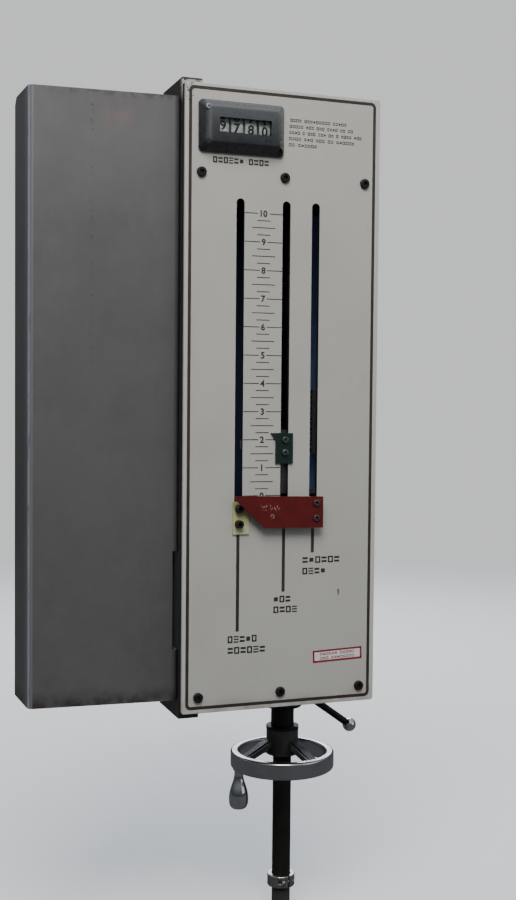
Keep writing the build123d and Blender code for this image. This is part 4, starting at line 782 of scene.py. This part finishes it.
thread = {"pitch": 2.54, "crest": 9.5, "root": 8.4, "flanks": (0.8, 1.2, 2.1), "steps": 24, "ends": 4,
          "weld": 0.01, "journal": 6.35, "relief": 8.0, "gap": 0.3, "spindleSteps": 48}
low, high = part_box("lead_screw")
axisX, axisY = (low.x + high.x) / 2 / mm, (low.y + high.y) / 2 / mm
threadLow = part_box("lower_cross_bar")[1].z / mm + thread["gap"]
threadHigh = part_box("upper_cross_bar")[0].z / mm - thread["gap"]
turnsMade = int((threadHigh - threadLow - thread["ends"]) / thread["pitch"])
startZ = (threadHigh + threadLow - turnsMade * thread["pitch"]) / 2
bm = bmesh.new()
rootEnd, crestStart, crestEnd = thread["flanks"]
corners = [(thread["root"], 0), (thread["root"], rootEnd), (thread["crest"], crestStart),
           (thread["crest"], crestEnd), (thread["root"], thread["pitch"])]
profile = [bm.verts.new((axisX + r, axisY, startZ - thread["pitch"] + z)) for r, z in corners]
edges = [bm.edges.new(pair) for pair in zip(profile, profile[1:])]
bmesh.ops.spin(bm, geom=profile + edges, cent=(axisX, axisY, 0), axis=(0, 0, 1),
               dvec=(0, 0, thread["pitch"] / thread["steps"]), angle=2 * pi * (turnsMade + 1),
               steps=thread["steps"] * (turnsMade + 1))
bmesh.ops.remove_doubles(bm, verts=bm.verts, dist=thread["weld"])
bmesh.ops.holes_fill(bm, edges=[e for e in bm.edges if e.is_boundary], sides=0)
spindle = bmesh.new()
outline = [(0, low.z / mm), (thread["journal"], low.z / mm), (thread["journal"], threadLow),
           (thread["relief"], threadLow), (thread["relief"], threadHigh), (thread["journal"], threadHigh),
           (thread["journal"], high.z / mm), (0, high.z / mm)]
ring = [spindle.verts.new((axisX + r, axisY, z)) for r, z in outline]
lines = [spindle.edges.new(pair) for pair in zip(ring, ring[1:])]
bmesh.ops.spin(spindle, geom=ring + lines, cent=(axisX, axisY, 0), axis=(0, 0, 1), angle=2 * pi,
               steps=thread["spindleSteps"], use_merge=True)
addTo(bm, spindle)
threadPiece = finishPiece("leadScrewThread", bm, greasySteel, "drive")
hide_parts("lead_screw")
print("stage: lead screw thread,", turnsMade, "turns")


# Slotted screws of the terminal strip and of the switch covers

screw = {"round": 0.78, "edge": 0.6, "steps": 20, "slot": 0.9, "slotDepth": 0.6, "turnStep": 37, "sink": 0.2,
         "near": 0.01}
towardsLeft = Matrix.Rotation(-pi / 2, 4, "Y")


# A flat-headed screw with a slot, whose seat is at the origin and whose head points up Z
def slotScrew(radius, height):
    head = bmesh.new()
    outline = [(0, height), (radius * screw["round"], height), (radius, height * screw["edge"]),
               (radius, -screw["sink"]), (0, -screw["sink"])]
    ring = [head.verts.new((r, 0, z)) for r, z in outline]
    lines = [head.edges.new(pair) for pair in zip(ring, ring[1:])]
    bmesh.ops.spin(head, geom=ring + lines, cent=(0, 0, 0), axis=(0, 0, 1), angle=2 * pi,
                   steps=screw["steps"], use_merge=True)
    bmesh.ops.remove_doubles(head, verts=head.verts, dist=weld)
    for side in (-1, 1):
        bmesh.ops.bisect_plane(head, geom=head.verts[:] + head.edges[:] + head.faces[:],
                               plane_co=(side * screw["slot"] / 2, 0, 0), plane_no=(1, 0, 0))
    top = [f for f in head.faces if f.calc_center_median().z > height - screw["near"]
           and abs(f.calc_center_median().x) < screw["slot"] / 2]
    sunk = bmesh.ops.extrude_face_region(head, geom=top)["geom"]
    bmesh.ops.translate(head, vec=(0, 0, -screw["slotDepth"]),
                        verts=[v for v in sunk if isinstance(v, bmesh.types.BMVert)])
    return head


terminals = {"poles": 6, "barrier": 2.0, "bayFloor": 9.9, "radius": 3.0, "height": 1.5, "apart": 8.4}
low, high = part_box("terminal_strip")
low, high = low / mm, high / mm
bayPitch = (high.z - low.z - terminals["barrier"]) / terminals["poles"]
bm = bmesh.new()
for k in range(terminals["poles"]):
    bayZ = low.z + terminals["barrier"] / 2 + (k + 0.5) * bayPitch
    for side in (-1, 1):
        screwY = (low.y + high.y + side * terminals["apart"]) / 2
        where = Matrix.Translation((high.x - terminals["bayFloor"], screwY, bayZ))
        turned = Matrix.Rotation(radians((2 * k + side) * screw["turnStep"]), 4, "Z")
        addTo(bm, slotScrew(terminals["radius"], terminals["height"]), where @ towardsLeft @ turned)
finishPiece("terminalScrews", bm, turnedSteel, "housing")

switchCover = {"width": 22.0, "inset": 5.0, "rise": 6.0, "radius": 2.2, "height": 1.0}
for switchName, body in (("bottom_stop_switch", "bottom_stop"), ("top_stop_switch", "top_stop"),
                         ("speed_change_switch", "speed_change")):
    low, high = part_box(switchName)
    low, high = low / mm, high / mm
    bm = bmesh.new()
    for k, y in enumerate((low.y + switchCover["inset"], high.y - switchCover["inset"])):
        where = Matrix.Translation((high.x - switchCover["width"], y, low.z + switchCover["rise"]))
        turned = Matrix.Rotation(radians((k + 1) * screw["turnStep"]), 4, "Z")
        addTo(bm, slotScrew(switchCover["radius"], switchCover["height"]), where @ towardsLeft @ turned)
    finishPiece(switchName + "CoverScrews", bm, turnedSteel, body)
print("stage: terminal and switch screws")


# Floor

# The floor fades to the backdrop's colour far off, and throws little light back at the object
floor = {"size": 60.0, "drop": 0.004, "pale": (0.84, 0.85, 0.86), "bounce": (0.10, 0.10, 0.10), "shine": 0.1,
         "fadeFrom": 0.9, "fadeTo": 3.2}
floorPaint = newFinish("floorPaint", floor["pale"], rough=0.8)
floorShader = floorPaint.node_tree.nodes["Principled BSDF"]
floorShader.inputs["Specular IOR Level"].default_value = floor["shine"]
floorFar = part(floorPaint, "Emission")
floorFar.inputs["Color"].default_value = (*room["backdrop"], 1)
floorFade = part(floorPaint, "MixShader")
floorNear = nearAxis(floorPaint, 0, 0, floor["fadeFrom"] / mm, (floor["fadeTo"] - floor["fadeFrom"]) / mm)
join(floorPaint, floorNear, floorFade.inputs["Fac"])
join(floorPaint, floorFar.outputs["Emission"], floorFade.inputs[1])
join(floorPaint, floorShader.outputs["BSDF"], floorFade.inputs[2])
floorBounce = part(floorPaint, "BsdfDiffuse")
floorBounce.inputs["Color"].default_value = (*floor["bounce"], 1)
floorMix = part(floorPaint, "MixShader")
join(floorPaint, part(floorPaint, "LightPath").outputs["Is Camera Ray"], floorMix.inputs["Fac"])
join(floorPaint, floorBounce.outputs["BSDF"], floorMix.inputs[1])
join(floorPaint, floorFade.outputs["Shader"], floorMix.inputs[2])
join(floorPaint, floorMix.outputs["Shader"], floorPaint.node_tree.nodes["Material Output"].inputs["Surface"])
bm = bmesh.new()
bmesh.ops.create_grid(bm, x_segments=1, y_segments=1, size=floor["size"])
bmesh.ops.translate(bm, vec=(0, 0, cadBox[0][2] - floor["drop"]), verts=bm.verts)
floorMesh = bpy.data.meshes.new("floor")
bm.to_mesh(floorMesh)
bm.free()
floorMesh.materials.append(floorPaint)
floorPiece = bpy.data.objects.new("floor", floorMesh)
bpy.context.scene.collection.objects.link(floorPiece)

# The pieces made here are shaded flat
for piece in bpy.data.objects:
    if piece.type == "MESH" and "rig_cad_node" not in piece and piece is not floorPiece:
        piece.data.shade_flat()
